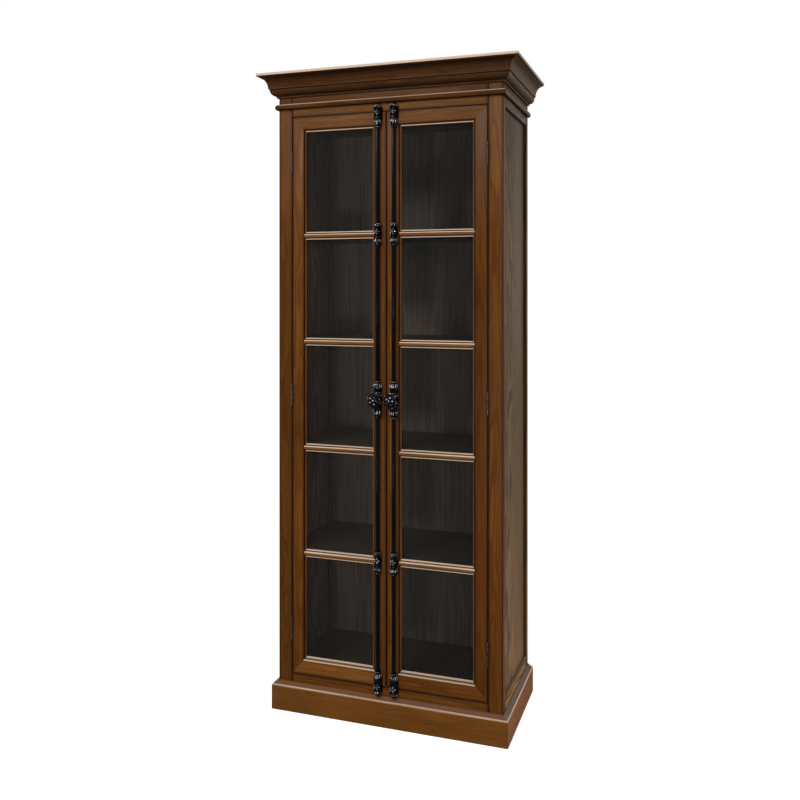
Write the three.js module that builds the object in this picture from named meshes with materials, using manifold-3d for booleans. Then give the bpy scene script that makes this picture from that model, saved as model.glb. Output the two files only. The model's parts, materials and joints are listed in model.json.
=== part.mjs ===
// A tall display bookcase: a panelled case on a plinth, a cornice on top, four fixed
// shelves, and two glazed doors that are held shut by long rod bolts.
// Millimetres, X to the right, Y to the back, Z up. The origin lies on the floor,
// under the middle of the whole object's footprint.

import * as THREE from 'three';
import { mergeVertices } from 'three/addons/utils/BufferGeometryUtils.js';
import Module from 'manifold-3d';

const wasm = await Module();
wasm.setup();

// Driving sizes of the whole case
const OVERALL_HEIGHT = 2200;
const BODY_WIDTH = 794;
const BODY_DEPTH = 412;
const CORNICE_REACH = 60;
const GLUE_GAP = 0.3;
const CUT_OVERRUN = 5;

// Front frame of the case
const POST_WIDTH = 49;
const POST_DEPTH = 32;
const FACE_RAIL_THICKNESS = 22;
const TOP_RAIL_HEIGHT = 138;
const BOTTOM_RAIL_SHOWING = 28;
const BASE_CLEARANCE = 26;

// Plinth moulding
const PLINTH_HEIGHT = 98;
const PLINTH_REACH = 19.5;
const PLINTH_FACE_HEIGHT = 78;
const PLINTH_NOSE_DEPTH = 3.5;
const PLINTH_NOSE_HEIGHT = 7;
const PLINTH_FILLET = 2.5;

// Cornice, top board and the small bead moulding below the cornice
const TOP_BOARD_THICKNESS = 10;
const CORNICE_HEIGHT = 69;
const CORNICE_QUIRK = 2;
const CORNICE_SETBACK = 6;
const COVE_HEIGHT = 38;
const COVE_FOOT_REACH = 29;
const CORNICE_STEP = 4;
const OVOLO_DROP = 21;
const OVOLO_FOOT_REACH = 8;
const CORNICE_FILLET = 1.5;
const BEAD_HEIGHT = 20;
const BEAD_REACH = 11;
const BEAD_TIP_HEIGHT = 9;
const BEAD_LIP = 5;
const BEAD_DROP = 22;
const ARC_STEPS = 5;

// Sides, back and inside
const SIDE_FRAME_THICKNESS = 22;
const BACK_STILE_WIDTH = 32;
const SIDE_TOP_RAIL_HEIGHT = 143;
const SIDE_BOTTOM_RAIL_TOP = 136;
const SIDE_PANEL_RECESS = 9;
const SIDE_PANEL_THICKNESS = 8;
const PANEL_TONGUE = 7;
const BACK_PANEL_THICKNESS = 8;
const BACK_PANEL_INSET = 6;
const SHELF_THICKNESS = 18;
const SHELF_SETBACK = 4;
const STOP_LAP = 8;
const STOP_CLEARANCE = 0.5;
const BACK_RAIL_THICKNESS = 22;

// Doors
const PANE_ROWS = 5;
const DOOR_THICKNESS = 22;
const DOOR_SIDE_GAP = 2;
const DOOR_END_GAP = 1.5;
const MEETING_GAP = 2;
const DOOR_STILE_WIDTH = 43;
const DOOR_TOP_RAIL = 44;
const DOOR_BOTTOM_RAIL = 51;
const SASH_LIP = 14;
const SASH_REBATE = 7;
const GLASS_THICKNESS = 3;
const GLASS_BED = 0.3;
const GRILLE_SETBACK = 7;
const GRILLE_STRIP_WIDTH = 7.5;
const GRILLE_EASE = 2.5;
const BAR_BACK_HEIGHT = 27;
const BAR_FRONT_HEIGHT = 13;
const BAR_SETBACK = 0.8;
const BAR_EASE = 2;

// Hinges
const HINGE_ROWS = 3;
const HINGE_HEIGHT = 71;
const HINGE_END_DISTANCE = 156;
const LEAF_WIDTH = 16;
const LEAF_THICKNESS = 1.7;
const KNUCKLE_RADIUS = 3.6;
const PIN_RADIUS = 1.6;
const PIN_CLEARANCE = 0.4;
const FINIAL_RADIUS = 2.8;
const HINGE_CLEARANCE = 0.3;
const KNUCKLE_SIDES = 12;

// Rod bolts
const ROD_RADIUS = 6;
const ROD_CLEARANCE = 0.4;
const ROD_STAND_OFF = 9.5;
const ROD_FROM_MIDDLE = 28.4;
const ROD_SIDES = 16;
const BOLT_TRAVEL = 15;
const BOLT_TIP_CLEARANCE = 2;
const KEEPER_CLEARANCE = 1.6;
const END_GUIDE_HEIGHT = 55;
const MIDDLE_GUIDE_HEIGHT = 74;
const CASTING_SEAM = 1.2;
const CASTING_WALL = 2.2;
const CASE_HEIGHT = 127;
const CASE_REACH = 20;
const ROD_HALF_GAP = 12;
const CASTING_SIDES = 9;
const CASTING_HALF_WIDTH = 16;
const CASTING_REACH = 19;

// Each pair holds a place along a casting and its half-width there, as shares of its
// length and of CASTING_HALF_WIDTH. Guides run from the end where the rod enters.
const END_SHAPE_SHARES = [
  [0, 0.74], [0.08, 0.78], [0.26, 0.92], [0.42, 0.86], [0.62, 0.93], [0.8, 1],
  [0.9, 0.86], [1, 0.5],
];
const MIDDLE_SHAPE_SHARES = [
  [0, 0.56], [0.1, 0.58], [0.24, 0.72], [0.36, 0.74], [0.48, 1], [0.6, 0.86],
  [0.76, 0.66], [0.92, 0.8], [1, 0.72],
];
const CASE_SHAPE_SHARES = [
  [0, 0.62], [0.07, 0.8], [0.16, 0.88], [0.22, 0.76], [0.32, 1], [0.68, 1],
  [0.78, 0.76], [0.84, 0.88], [0.93, 0.8], [1, 0.62],
];

// Knobs
const KNOB_WIDTH = 46;
const KNOB_HEIGHT = 55;
const KNOB_DEPTH = 27;
const KNOB_STAND_OFF = 45;
const KNOB_LOBES = 8;
const KNOB_LOBE_DEPTH = 1.6;
const KNOB_SEGMENTS = 16;
const KNOB_RINGS = 10;
const NECK_RADIUS = 7;
const NECK_CLEARANCE = 0.5;
const SPINDLE_RADIUS = 4;
const SPINDLE_CLEARANCE = 0.4;
const SPINDLE_DEPTH = 12;

// Places that follow from the sizes above
const BACK = (BODY_DEPTH + CORNICE_REACH) / 2;
const FRONT = BACK - BODY_DEPTH;
const HALF_WIDTH = BODY_WIDTH / 2;
const TOP_UNDERSIDE = OVERALL_HEIGHT - TOP_BOARD_THICKNESS;
const CASE_TOP_EDGE = TOP_UNDERSIDE - GLUE_GAP;
const OPENING_HALF = HALF_WIDTH - POST_WIDTH;
const OPENING_BOTTOM = PLINTH_HEIGHT + BOTTOM_RAIL_SHOWING;
const OPENING_TOP = TOP_UNDERSIDE - TOP_RAIL_HEIGHT;
const BEAD_TOP = TOP_UNDERSIDE - CORNICE_HEIGHT - BEAD_DROP;
const BEAD_FOOT = BEAD_TOP - BEAD_HEIGHT;
const TOP_RAIL_SHOWING = BEAD_FOOT - OPENING_TOP;
const INNER_HALF = HALF_WIDTH - SIDE_FRAME_THICKNESS;
const PANEL_OUTER = HALF_WIDTH - SIDE_PANEL_RECESS;
const PANEL_INNER = PANEL_OUTER - SIDE_PANEL_THICKNESS;
const SHELF_HALF = PANEL_INNER - GLUE_GAP;
const BACK_PANEL_FRONT = BACK - BACK_PANEL_INSET - BACK_PANEL_THICKNESS;
const SHELF_BACK = BACK_PANEL_FRONT - GLUE_GAP;
const STOP_FRONT = FRONT + DOOR_THICKNESS + STOP_CLEARANCE;
const SIDE_RAIL_UNDERSIDE = TOP_UNDERSIDE - SIDE_TOP_RAIL_HEIGHT;
const FLOOR_TOP = OPENING_BOTTOM + STOP_LAP;
const CEILING = OPENING_TOP - STOP_LAP;

const DOOR_BOTTOM = OPENING_BOTTOM + DOOR_END_GAP;
const DOOR_TOP = OPENING_TOP - DOOR_END_GAP;
const DOOR_HINGE_EDGE = OPENING_HALF - DOOR_SIDE_GAP;
const DOOR_LOCK_EDGE = MEETING_GAP / 2;
const SASH_HINGE_SIDE = DOOR_HINGE_EDGE - DOOR_STILE_WIDTH;
const SASH_LOCK_SIDE = DOOR_LOCK_EDGE + DOOR_STILE_WIDTH;
const SASH_BOTTOM = DOOR_BOTTOM + DOOR_BOTTOM_RAIL;
const SASH_TOP = DOOR_TOP - DOOR_TOP_RAIL;
const GLASS_FRONT = FRONT + SASH_LIP + GLASS_BED;
const GLASS_BACK = GLASS_FRONT + GLASS_THICKNESS;
const DOOR_BACK = FRONT + DOOR_THICKNESS;

const HINGE_X = OPENING_HALF - DOOR_SIDE_GAP / 2;
const HINGE_Y = FRONT - KNUCKLE_RADIUS - HINGE_CLEARANCE;
const ROD_Y = FRONT - ROD_STAND_OFF;
const BOLT_MIDDLE = (OPENING_BOTTOM + OPENING_TOP) / 2;

const barHeight = (row) => SASH_BOTTOM + (SASH_TOP - SASH_BOTTOM) * row / PANE_ROWS;

// The finishes
const FINISH = {
  frame_wood: { color: 0x6b4423, roughness: 0.45, metalness: 0 },
  panel_wood: { color: 0x5f4a38, roughness: 0.55, metalness: 0 },
  inside_wood: { color: 0x4c3a2d, roughness: 0.6, metalness: 0 },
  glass: { color: 0x9fb0b0, roughness: 0.05, metalness: 0, transparent: true, opacity: 0.3 },
  cast_iron: { color: 0x121212, roughness: 0.3, metalness: 0.8 },
  hinge_metal: { color: 0x3a3128, roughness: 0.4, metalness: 0.9 },
};

// Solids and booleans

// The one exact solid of a closed geometry.
function solid(geometry) {
  const bare = geometry.clone();
  bare.deleteAttribute('normal');
  bare.deleteAttribute('uv');
  const merged = mergeVertices(bare);
  return new wasm.Manifold(new wasm.Mesh({
    numProp: 3,
    vertProperties: merged.getAttribute('position').array,
    triVerts: Uint32Array.from(merged.getIndex().array),
  }));
}

function geometryOf(body) {
  const mesh = body.getMesh();
  const geometry = new THREE.BufferGeometry();
  geometry.setAttribute('position', new THREE.BufferAttribute(mesh.vertProperties, 3));
  geometry.setIndex(new THREE.BufferAttribute(mesh.triVerts, 1));
  geometry.computeVertexNormals();
  return geometry;
}

function cut(geometry, ...tools) {
  return geometryOf(tools.reduce((body, tool) => body.subtract(solid(tool)), solid(geometry)));
}

function join(...geometries) {
  return geometryOf(geometries.map(solid).reduce((body, piece) => body.add(piece)));
}

// A box between two corners, given as [low, high] along each axis.
function block([x0, x1], [y0, y1], [z0, z1]) {
  const geometry = new THREE.BoxGeometry(x1 - x0, y1 - y0, z1 - z0);
  geometry.translate((x0 + x1) / 2, (y0 + y1) / 2, (z0 + z1) / 2);
  return geometry;
}

// The same [low, high] stretch, longer by a margin at both ends.
function grown([low, high], margin = GLUE_GAP) {
  return [low - margin, high + margin];
}

// The stretch from a to b on the right side (+1) or mirrored on the left side (-1).
function onSide(side, a, b) {
  return side > 0 ? [a, b] : [-b, -a];
}

function cylinder(radius, sides, axis, centre, [low, high]) {
  const geometry = new THREE.CylinderGeometry(radius, radius, high - low, sides);
  if (axis === 'z') geometry.rotateX(Math.PI / 2);
  const middle = (low + high) / 2;
  if (axis === 'z') geometry.translate(centre[0], centre[1], middle);
  else geometry.translate(centre[0], middle, centre[1]);
  return geometry;
}

// Six times the volume inside triangles given as corner numbers into points.
function signedVolume(points, triangles) {
  let sum = 0;
  const corner = [new THREE.Vector3(), new THREE.Vector3(), new THREE.Vector3()];
  for (let i = 0; i < triangles.length; i += 3) {
    corner.forEach((vector, j) => vector.fromArray(points, triangles[i + j] * 3));
    sum += corner[0].dot(corner[1].cross(corner[2]));
  }
  return sum;
}

// A closed skin over rings of points: each ring is a loop of [x, y, z], all of one length.
// The end rings are filled from a triangulation of the flat outline they share, and the
// faces are turned to point outwards whichever way the rings run.
function skin(rings, outline) {
  const count = outline.length;
  const positions = rings.flat(2);
  const triangles = [];
  for (let ring = 0; ring + 1 < rings.length; ring += 1) {
    for (let i = 0; i < count; i += 1) {
      const a = ring * count + i;
      const b = ring * count + (i + 1) % count;
      triangles.push(a, b, b + count, a, b + count, a + count);
    }
  }
  const last = (rings.length - 1) * count;
  for (const [a, b, c] of THREE.ShapeUtils.triangulateShape(outline, [])) {
    triangles.push(a, c, b, last + a, last + b, last + c);
  }
  if (signedVolume(positions, triangles) < 0) triangles.reverse();
  const geometry = new THREE.BufferGeometry();
  geometry.setAttribute('position', new THREE.Float32BufferAttribute(positions, 3));
  geometry.setIndex(triangles);
  return geometryOf(solid(geometry));
}

// Points of a quarter of an ellipse from its first end to its second, without the first end.
function quarter(centre, reach, rise, from, to) {
  return Array.from({ length: ARC_STEPS }, (_, i) => {
    const angle = from + (to - from) * (i + 1) / ARC_STEPS;
    return [centre[0] + reach * Math.cos(angle), centre[1] + rise * Math.sin(angle)];
  });
}

// Mouldings that wrap the case: left return, front, right return, mitred at the corners.
// The profile's points are [reach from the case, height], anticlockwise seen from the front
// end of the right return.
function wrapped(profile) {
  const outline = profile.map(([reach, height]) => new THREE.Vector2(reach, height));
  const x = HALF_WIDTH;
  const rings = [
    profile.map(([reach, height]) => [x + reach, BACK, height]),
    profile.map(([reach, height]) => [x + reach, FRONT - reach, height]),
    profile.map(([reach, height]) => [-x - reach, FRONT - reach, height]),
    profile.map(([reach, height]) => [-x - reach, BACK, height]),
  ];
  return skin(rings, outline);
}

function plinth() {
  const noseTop = PLINTH_FACE_HEIGHT + PLINTH_NOSE_HEIGHT;
  const noseReach = PLINTH_REACH - PLINTH_NOSE_DEPTH;
  return wrapped([
    [GLUE_GAP, 0],
    [PLINTH_REACH, 0],
    [PLINTH_REACH, PLINTH_FACE_HEIGHT],
    ...quarter([noseReach, PLINTH_FACE_HEIGHT], PLINTH_NOSE_DEPTH, PLINTH_NOSE_HEIGHT, 0, Math.PI / 2)
      .slice(0, -1),
    [noseReach - PLINTH_FILLET / 2, noseTop],
    [PLINTH_FILLET, PLINTH_HEIGHT - PLINTH_FILLET],
    [PLINTH_FILLET, PLINTH_HEIGHT],
    [GLUE_GAP, PLINTH_HEIGHT],
  ]);
}

function cornice() {
  const foot = TOP_UNDERSIDE - CORNICE_HEIGHT;
  const coveTop = TOP_UNDERSIDE - CORNICE_QUIRK;
  const coveReach = CORNICE_REACH - CORNICE_SETBACK;
  const coveFoot = coveTop - COVE_HEIGHT;
  const ovoloReach = COVE_FOOT_REACH - CORNICE_STEP;
  const ovoloTop = coveFoot - CORNICE_FILLET;
  const ovoloFoot = ovoloTop - OVOLO_DROP;
  const cove = quarter([coveReach, coveFoot], coveReach - COVE_FOOT_REACH, COVE_HEIGHT,
    Math.PI, Math.PI / 2);
  const ovolo = quarter([OVOLO_FOOT_REACH, ovoloTop], ovoloReach - OVOLO_FOOT_REACH, OVOLO_DROP,
    -Math.PI / 2, 0);
  return wrapped([
    [GLUE_GAP, foot],
    [OVOLO_FOOT_REACH - CORNICE_FILLET, foot],
    [OVOLO_FOOT_REACH - CORNICE_FILLET, ovoloFoot],
    [OVOLO_FOOT_REACH, ovoloFoot],
    ...ovolo,
    [ovoloReach, coveFoot],
    [COVE_FOOT_REACH, coveFoot],
    ...cove,
    [coveReach, CASE_TOP_EDGE],
    [GLUE_GAP, CASE_TOP_EDGE],
  ]);
}

function beadMoulding() {
  const tip = BEAD_FOOT + BEAD_TIP_HEIGHT;
  return wrapped([
    [GLUE_GAP, BEAD_FOOT],
    [BEAD_REACH - BEAD_LIP, BEAD_FOOT],
    ...quarter([BEAD_REACH - BEAD_LIP, tip], BEAD_LIP, BEAD_TIP_HEIGHT, -Math.PI / 2, 0),
    ...quarter([BEAD_LIP / 2, tip], BEAD_REACH - BEAD_LIP / 2, BEAD_TOP - tip, 0, Math.PI / 2),
    [GLUE_GAP, BEAD_TOP],
  ]);
}

// Case

const boardWidth = [-SHELF_HALF, SHELF_HALF];
const endBoardDepth = [STOP_FRONT, SHELF_BACK];
const shelfDepth = [DOOR_BACK + SHELF_SETBACK, SHELF_BACK];
const floorHeight = [FLOOR_TOP - SHELF_THICKNESS, FLOOR_TOP];
const ceilingHeight = [CEILING, CEILING + SHELF_THICKNESS];

function shelfHeight(row) {
  const middle = barHeight(row);
  return [middle - SHELF_THICKNESS / 2, middle + SHELF_THICKNESS / 2];
}

const shelfRows = Array.from({ length: PANE_ROWS - 1 }, (_, i) => i + 1);

// The housings that the boards inside the case need in the posts and side frames.
const housing = (depth, height) => block(grown(boardWidth), grown(depth), grown(height));
const shelfHousings = () => shelfRows.map((row) => housing(shelfDepth, shelfHeight(row)));
const endBoardHousings = () => [floorHeight, ceilingHeight].map(
  (height) => housing(endBoardDepth, height),
);

function sidePanelStretches(side) {
  return [
    onSide(side, PANEL_INNER, PANEL_OUTER),
    [FRONT + POST_DEPTH - PANEL_TONGUE, BACK - BACK_STILE_WIDTH + PANEL_TONGUE],
    [SIDE_BOTTOM_RAIL_TOP - PANEL_TONGUE, SIDE_RAIL_UNDERSIDE + PANEL_TONGUE],
  ];
}

function sidePanel(side) {
  return block(...sidePanelStretches(side));
}

function panelGroove(side) {
  return block(...sidePanelStretches(side).map((stretch) => grown(stretch)));
}

function post(side) {
  const mortises = hingeRows.map((middle) => leafMortise(frameLeafAcross(side), middle));
  return cut(
    block(onSide(side, OPENING_HALF, HALF_WIDTH), [FRONT, FRONT + POST_DEPTH], [0, CASE_TOP_EDGE]),
    panelGroove(side), ...shelfHousings(), ...mortises,
  );
}

function faceRail(low, high) {
  const half = OPENING_HALF - GLUE_GAP;
  return block([-half, half], [FRONT, FRONT + FACE_RAIL_THICKNESS], [low, high]);
}

// Back stile, top rail and bottom rail of one side, glued up and open towards the post.
function sideFrame(side) {
  const across = onSide(side, INNER_HALF, HALF_WIDTH);
  const front = FRONT + POST_DEPTH + GLUE_GAP;
  const window = block(
    grown(across, CUT_OVERRUN),
    [front - CUT_OVERRUN, BACK - BACK_STILE_WIDTH],
    [SIDE_BOTTOM_RAIL_TOP, SIDE_RAIL_UNDERSIDE],
  );
  const under = block(
    grown(across, CUT_OVERRUN),
    [front - CUT_OVERRUN, BACK - BACK_STILE_WIDTH],
    [-CUT_OVERRUN, BASE_CLEARANCE],
  );
  return cut(
    block(across, [front, BACK], [0, CASE_TOP_EDGE]),
    window, under, panelGroove(side), ...shelfHousings(), ...endBoardHousings(),
  );
}

function backPanel() {
  const half = INNER_HALF - GLUE_GAP;
  return block(
    [-half, half], [BACK_PANEL_FRONT, BACK - BACK_PANEL_INSET], [BASE_CLEARANCE, CASE_TOP_EDGE],
  );
}

function backRail() {
  const half = INNER_HALF - GLUE_GAP;
  return block(
    [-half, half], [SHELF_BACK - BACK_RAIL_THICKNESS, SHELF_BACK],
    [0, floorHeight[0] - GLUE_GAP],
  );
}

function shelf(row) {
  return block(boardWidth, shelfDepth, shelfHeight(row));
}

// The floor and the ceiling board stop the doors, and are notched round the posts
// and behind the front rails.
function endBoard(height) {
  const postSpace = [-1, 1].map((side) => block(
    onSide(side, OPENING_HALF - GLUE_GAP, HALF_WIDTH),
    [FRONT, FRONT + POST_DEPTH + GLUE_GAP],
    grown(height, CUT_OVERRUN),
  ));
  return cut(block(boardWidth, endBoardDepth, height), ...postSpace);
}

function topBoard() {
  const half = HALF_WIDTH + CORNICE_REACH;
  return block([-half, half], [FRONT - CORNICE_REACH, BACK], [TOP_UNDERSIDE, OVERALL_HEIGHT]);
}

// Doors

const doorStretch = (side) => onSide(side, DOOR_LOCK_EDGE, DOOR_HINGE_EDGE);
const sashStretch = (side) => onSide(side, SASH_LOCK_SIDE, SASH_HINGE_SIDE);
const sashHeight = [SASH_BOTTOM, SASH_TOP];

function doorFrame(side) {
  return cut(
    block(doorStretch(side), [FRONT, DOOR_BACK], [DOOR_BOTTOM, DOOR_TOP]),
    block(sashStretch(side), grown([FRONT, DOOR_BACK], CUT_OVERRUN), sashHeight),
    block(
      grown(sashStretch(side), SASH_REBATE), [FRONT + SASH_LIP, DOOR_BACK + CUT_OVERRUN],
      grown(sashHeight, SASH_REBATE),
    ),
    ...hingeRows.map((middle) => leafMortise(doorLeafAcross(side), middle)),
  );
}

// A box whose four long front edges, seen from the front, slope back by an ease.
function easedBlock([x0, x1], [y0, y1], [z0, z1], ease) {
  const outline = [[0, 0], [1, 0], [1, 1], [0, 1]].map(([u, v]) => new THREE.Vector2(u, v));
  const ring = (inset, y) => [
    [x0 + inset, y, z0 + inset], [x1 - inset, y, z0 + inset],
    [x1 - inset, y, z1 - inset], [x0 + inset, y, z1 - inset],
  ];
  return skin([ring(0, y1), ring(0, y0 + ease), ring(ease, y0)], outline);
}

// The opening of one pane, splayed at the front so that its edge is eased.
function paneHole([x0, x1], [z0, z1]) {
  const front = FRONT + GRILLE_SETBACK;
  const splay = GRILLE_EASE + CUT_OVERRUN;
  const straight = block([x0, x1], [front - CUT_OVERRUN, DOOR_BACK], [z0, z1]);
  const outline = [[0, 0], [1, 0], [1, 1], [0, 1]].map(([u, v]) => new THREE.Vector2(u, v));
  const ring = (inset, y) => [
    [x0 - inset, y, z0 - inset], [x1 + inset, y, z0 - inset],
    [x1 + inset, y, z1 + inset], [x0 - inset, y, z1 + inset],
  ];
  const mouth = skin([ring(0, front + GRILLE_EASE), ring(splay, front - CUT_OVERRUN)], outline);
  return join(straight, mouth);
}

// The wooden lattice in front of the glass: a strip round the edge, a wider backing
// behind each bar, and the bars themselves.
function doorGrille(side) {
  const across = grown(sashStretch(side), -GLUE_GAP);
  const height = grown(sashHeight, -GLUE_GAP);
  const depth = [FRONT + GRILLE_SETBACK, FRONT + SASH_LIP];
  const paneAcross = grown(sashStretch(side), -GRILLE_STRIP_WIDTH);
  const holes = Array.from({ length: PANE_ROWS }, (_, i) => paneHole(paneAcross, [
    i === 0 ? SASH_BOTTOM + GRILLE_STRIP_WIDTH : barHeight(i) + BAR_BACK_HEIGHT / 2,
    i === PANE_ROWS - 1 ? SASH_TOP - GRILLE_STRIP_WIDTH : barHeight(i + 1) - BAR_BACK_HEIGHT / 2,
  ]));
  const bars = shelfRows.map((row) => easedBlock(
    across, [FRONT + BAR_SETBACK, FRONT + SASH_LIP],
    [barHeight(row) - BAR_FRONT_HEIGHT / 2, barHeight(row) + BAR_FRONT_HEIGHT / 2], BAR_EASE,
  ));
  return join(cut(block(across, depth, height), ...holes), ...bars);
}

function doorGlass(side) {
  return block(
    grown(sashStretch(side), SASH_REBATE - GLUE_GAP), [GLASS_FRONT, GLASS_BACK],
    grown(sashHeight, SASH_REBATE - GLUE_GAP),
  );
}

// The strip that holds the glass in its rebate from behind.
function glazingBead(side) {
  const depth = [GLASS_BACK + GLUE_GAP, DOOR_BACK];
  return cut(
    block(
      grown(sashStretch(side), SASH_REBATE - GLUE_GAP), depth,
      grown(sashHeight, SASH_REBATE - GLUE_GAP),
    ),
    block(sashStretch(side), grown(depth, CUT_OVERRUN), sashHeight),
  );
}

// Hinges

const hingeRows = Array.from({ length: HINGE_ROWS }, (_, i) => {
  const low = DOOR_BOTTOM + HINGE_END_DISTANCE;
  const high = DOOR_TOP - HINGE_END_DISTANCE;
  return low + (high - low) * i / (HINGE_ROWS - 1);
});

const knuckleHeight = (HINGE_HEIGHT - 2 * HINGE_CLEARANCE) / 3;

// The leaf on the post fills a mortise in it, flush with the post's inner edge.
const frameLeafAcross = (side) => onSide(
  side, OPENING_HALF, OPENING_HALF + LEAF_THICKNESS,
);
const doorLeafAcross = (side) => onSide(
  side, DOOR_HINGE_EDGE - LEAF_THICKNESS, DOOR_HINGE_EDGE,
);
const leafFront = HINGE_Y + KNUCKLE_RADIUS + HINGE_CLEARANCE;
const leafDepth = [leafFront, leafFront + LEAF_WIDTH];
const hingeStretch = (middle) => [middle - HINGE_HEIGHT / 2, middle + HINGE_HEIGHT / 2];

function leafMortise(across, middle) {
  return block(
    grown(across), [FRONT - CUT_OVERRUN, leafDepth[1] + GLUE_GAP], grown(hingeStretch(middle)),
  );
}

const knuckle = (side, stretch) => cylinder(
  KNUCKLE_RADIUS, KNUCKLE_SIDES, 'z', [side * HINGE_X, HINGE_Y], stretch,
);

// The post's leaf with the two outer knuckles, the pin and its two round ends.
function frameHinge(side, middle) {
  const [low, high] = hingeStretch(middle);
  const outer = [[low, low + knuckleHeight], [high - knuckleHeight, high]];
  const leaf = block(frameLeafAcross(side), leafDepth, [low, high]);
  const tabs = outer.map((stretch) => block(
    frameLeafAcross(side), [HINGE_Y, leafDepth[0] + GLUE_GAP], stretch,
  ));
  const centre = [side * HINGE_X, HINGE_Y];
  const pin = cylinder(PIN_RADIUS, KNUCKLE_SIDES, 'z', centre, [low, high]);
  const finials = [low, high].map((height) => {
    const ball = new THREE.SphereGeometry(FINIAL_RADIUS, KNUCKLE_SIDES / 2, KNUCKLE_SIDES / 3);
    ball.rotateX(Math.PI / 2);
    ball.translate(centre[0], centre[1], height);
    return ball;
  });
  return join(leaf, ...tabs, ...outer.map((stretch) => knuckle(side, stretch)), pin, ...finials);
}

// The door's leaf with the middle knuckle, bored for the pin.
function doorHinge(side, middle) {
  const [low, high] = hingeStretch(middle);
  const inner = [low + knuckleHeight + HINGE_CLEARANCE, high - knuckleHeight - HINGE_CLEARANCE];
  const leaf = block(doorLeafAcross(side), leafDepth, [low, high]);
  const tab = block(doorLeafAcross(side), [HINGE_Y, leafDepth[0] + GLUE_GAP], inner);
  const bore = cylinder(
    PIN_RADIUS + PIN_CLEARANCE, KNUCKLE_SIDES, 'z', [side * HINGE_X, HINGE_Y],
    grown(inner, CUT_OVERRUN),
  );
  return cut(join(leaf, tab, knuckle(side, inner)), bore);
}

// Rod bolts

const boltX = (side) => side * ROD_FROM_MIDDLE;
const castingBack = FRONT - GLUE_GAP;
const boreRadius = ROD_RADIUS + ROD_CLEARANCE;

// The half-width share of a shape at a place along it, between its listed places.
function shapeAt(shares, t) {
  const next = Math.max(1, shares.findIndex(([place]) => place >= t));
  const [t0, w0] = shares[next - 1];
  const [t1, w1] = shares[next];
  return w0 + (w1 - w0) * (t - t0) / (t1 - t0);
}

// A casting with a flat back and a rounded front, between two shares of its shape.
// from and to are the heights of shares 0 and 1; only the shares in the window are made.
function casting(side, shares, [from, to], window = [0, 1], reach = CASTING_REACH) {
  const places = [window[0],
    ...shares.map(([place]) => place).filter((t) => t > window[0] && t < window[1]), window[1]];
  const least = boreRadius + CASTING_WALL;
  const section = Array.from({ length: CASTING_SIDES }, (_, i) => {
    const angle = Math.PI * i / (CASTING_SIDES - 1);
    return [Math.cos(angle), Math.sin(angle)];
  });
  const outline = section.map(([u, v]) => new THREE.Vector2(u, v));
  const rings = places.map((t) => {
    const share = shapeAt(shares, t);
    const half = Math.max(least, CASTING_HALF_WIDTH * share);
    const front = Math.max(ROD_STAND_OFF + least, reach * (1 + share) / 2);
    const height = from + (to - from) * t;
    return section.map(([u, v]) => [boltX(side) + half * u, castingBack - front * v, height]);
  });
  return skin(rings, outline);
}

const rodBore = (side, stretch) => cylinder(
  boreRadius, ROD_SIDES, 'z', [boltX(side), ROD_Y], stretch,
);

// The end fitting is one shape, cut at the door's edge: the guide on the door and the
// keeper on the rail that shows past it. end is +1 at the top and -1 at the bottom.
function endFitting(end) {
  const seam = end > 0 ? OPENING_TOP - DOOR_END_GAP / 2 : OPENING_BOTTOM + DOOR_END_GAP / 2;
  const keeperHeight = (end > 0 ? TOP_RAIL_SHOWING : BOTTOM_RAIL_SHOWING) - KEEPER_CLEARANCE;
  const from = seam - end * END_GUIDE_HEIGHT;
  const to = seam + end * keeperHeight;
  const length = END_GUIDE_HEIGHT + keeperHeight;
  return {
    stretch: [from, to],
    guide: [0, (END_GUIDE_HEIGHT - CASTING_SEAM / 2) / length],
    keeper: [(END_GUIDE_HEIGHT + CASTING_SEAM / 2) / length, 1],
    seam,
  };
}

const rodTip = (end) => (end > 0 ? DOOR_TOP : DOOR_BOTTOM) - end * BOLT_TIP_CLEARANCE;

const sorted = (a, b) => [Math.min(a, b), Math.max(a, b)];

function endGuide(side, end) {
  const fitting = endFitting(end);
  const body = casting(side, END_SHAPE_SHARES, fitting.stretch, fitting.guide);
  return cut(body, rodBore(side, grown(sorted(...fitting.stretch), CUT_OVERRUN)));
}

function keeper(side, end) {
  const fitting = endFitting(end);
  const body = casting(side, END_SHAPE_SHARES, fitting.stretch, fitting.keeper);
  const depth = rodTip(end) + end * (BOLT_TRAVEL + BOLT_TIP_CLEARANCE);
  return cut(body, rodBore(side, sorted(fitting.seam - end * CUT_OVERRUN, depth)));
}

const middleGuideRow = (end) => barHeight(end > 0 ? PANE_ROWS - 1 : 1);

function middleGuide(side, end) {
  const middle = middleGuideRow(end);
  const stretch = [middle - end * MIDDLE_GUIDE_HEIGHT / 2, middle + end * MIDDLE_GUIDE_HEIGHT / 2];
  return cut(
    casting(side, MIDDLE_SHAPE_SHARES, stretch),
    rodBore(side, grown(sorted(...stretch), CUT_OVERRUN)),
  );
}

function boltCase(side) {
  const stretch = [BOLT_MIDDLE - CASE_HEIGHT / 2, BOLT_MIDDLE + CASE_HEIGHT / 2];
  const spindleBore = cylinder(
    SPINDLE_RADIUS + SPINDLE_CLEARANCE, ROD_SIDES, 'y', [boltX(side), BOLT_MIDDLE],
    [FRONT - CASE_REACH - CUT_OVERRUN, FRONT + CUT_OVERRUN],
  );
  return cut(
    casting(side, CASE_SHAPE_SHARES, stretch, [0, 1], CASE_REACH),
    rodBore(side, grown(stretch, CUT_OVERRUN)), spindleBore,
  );
}

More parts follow.
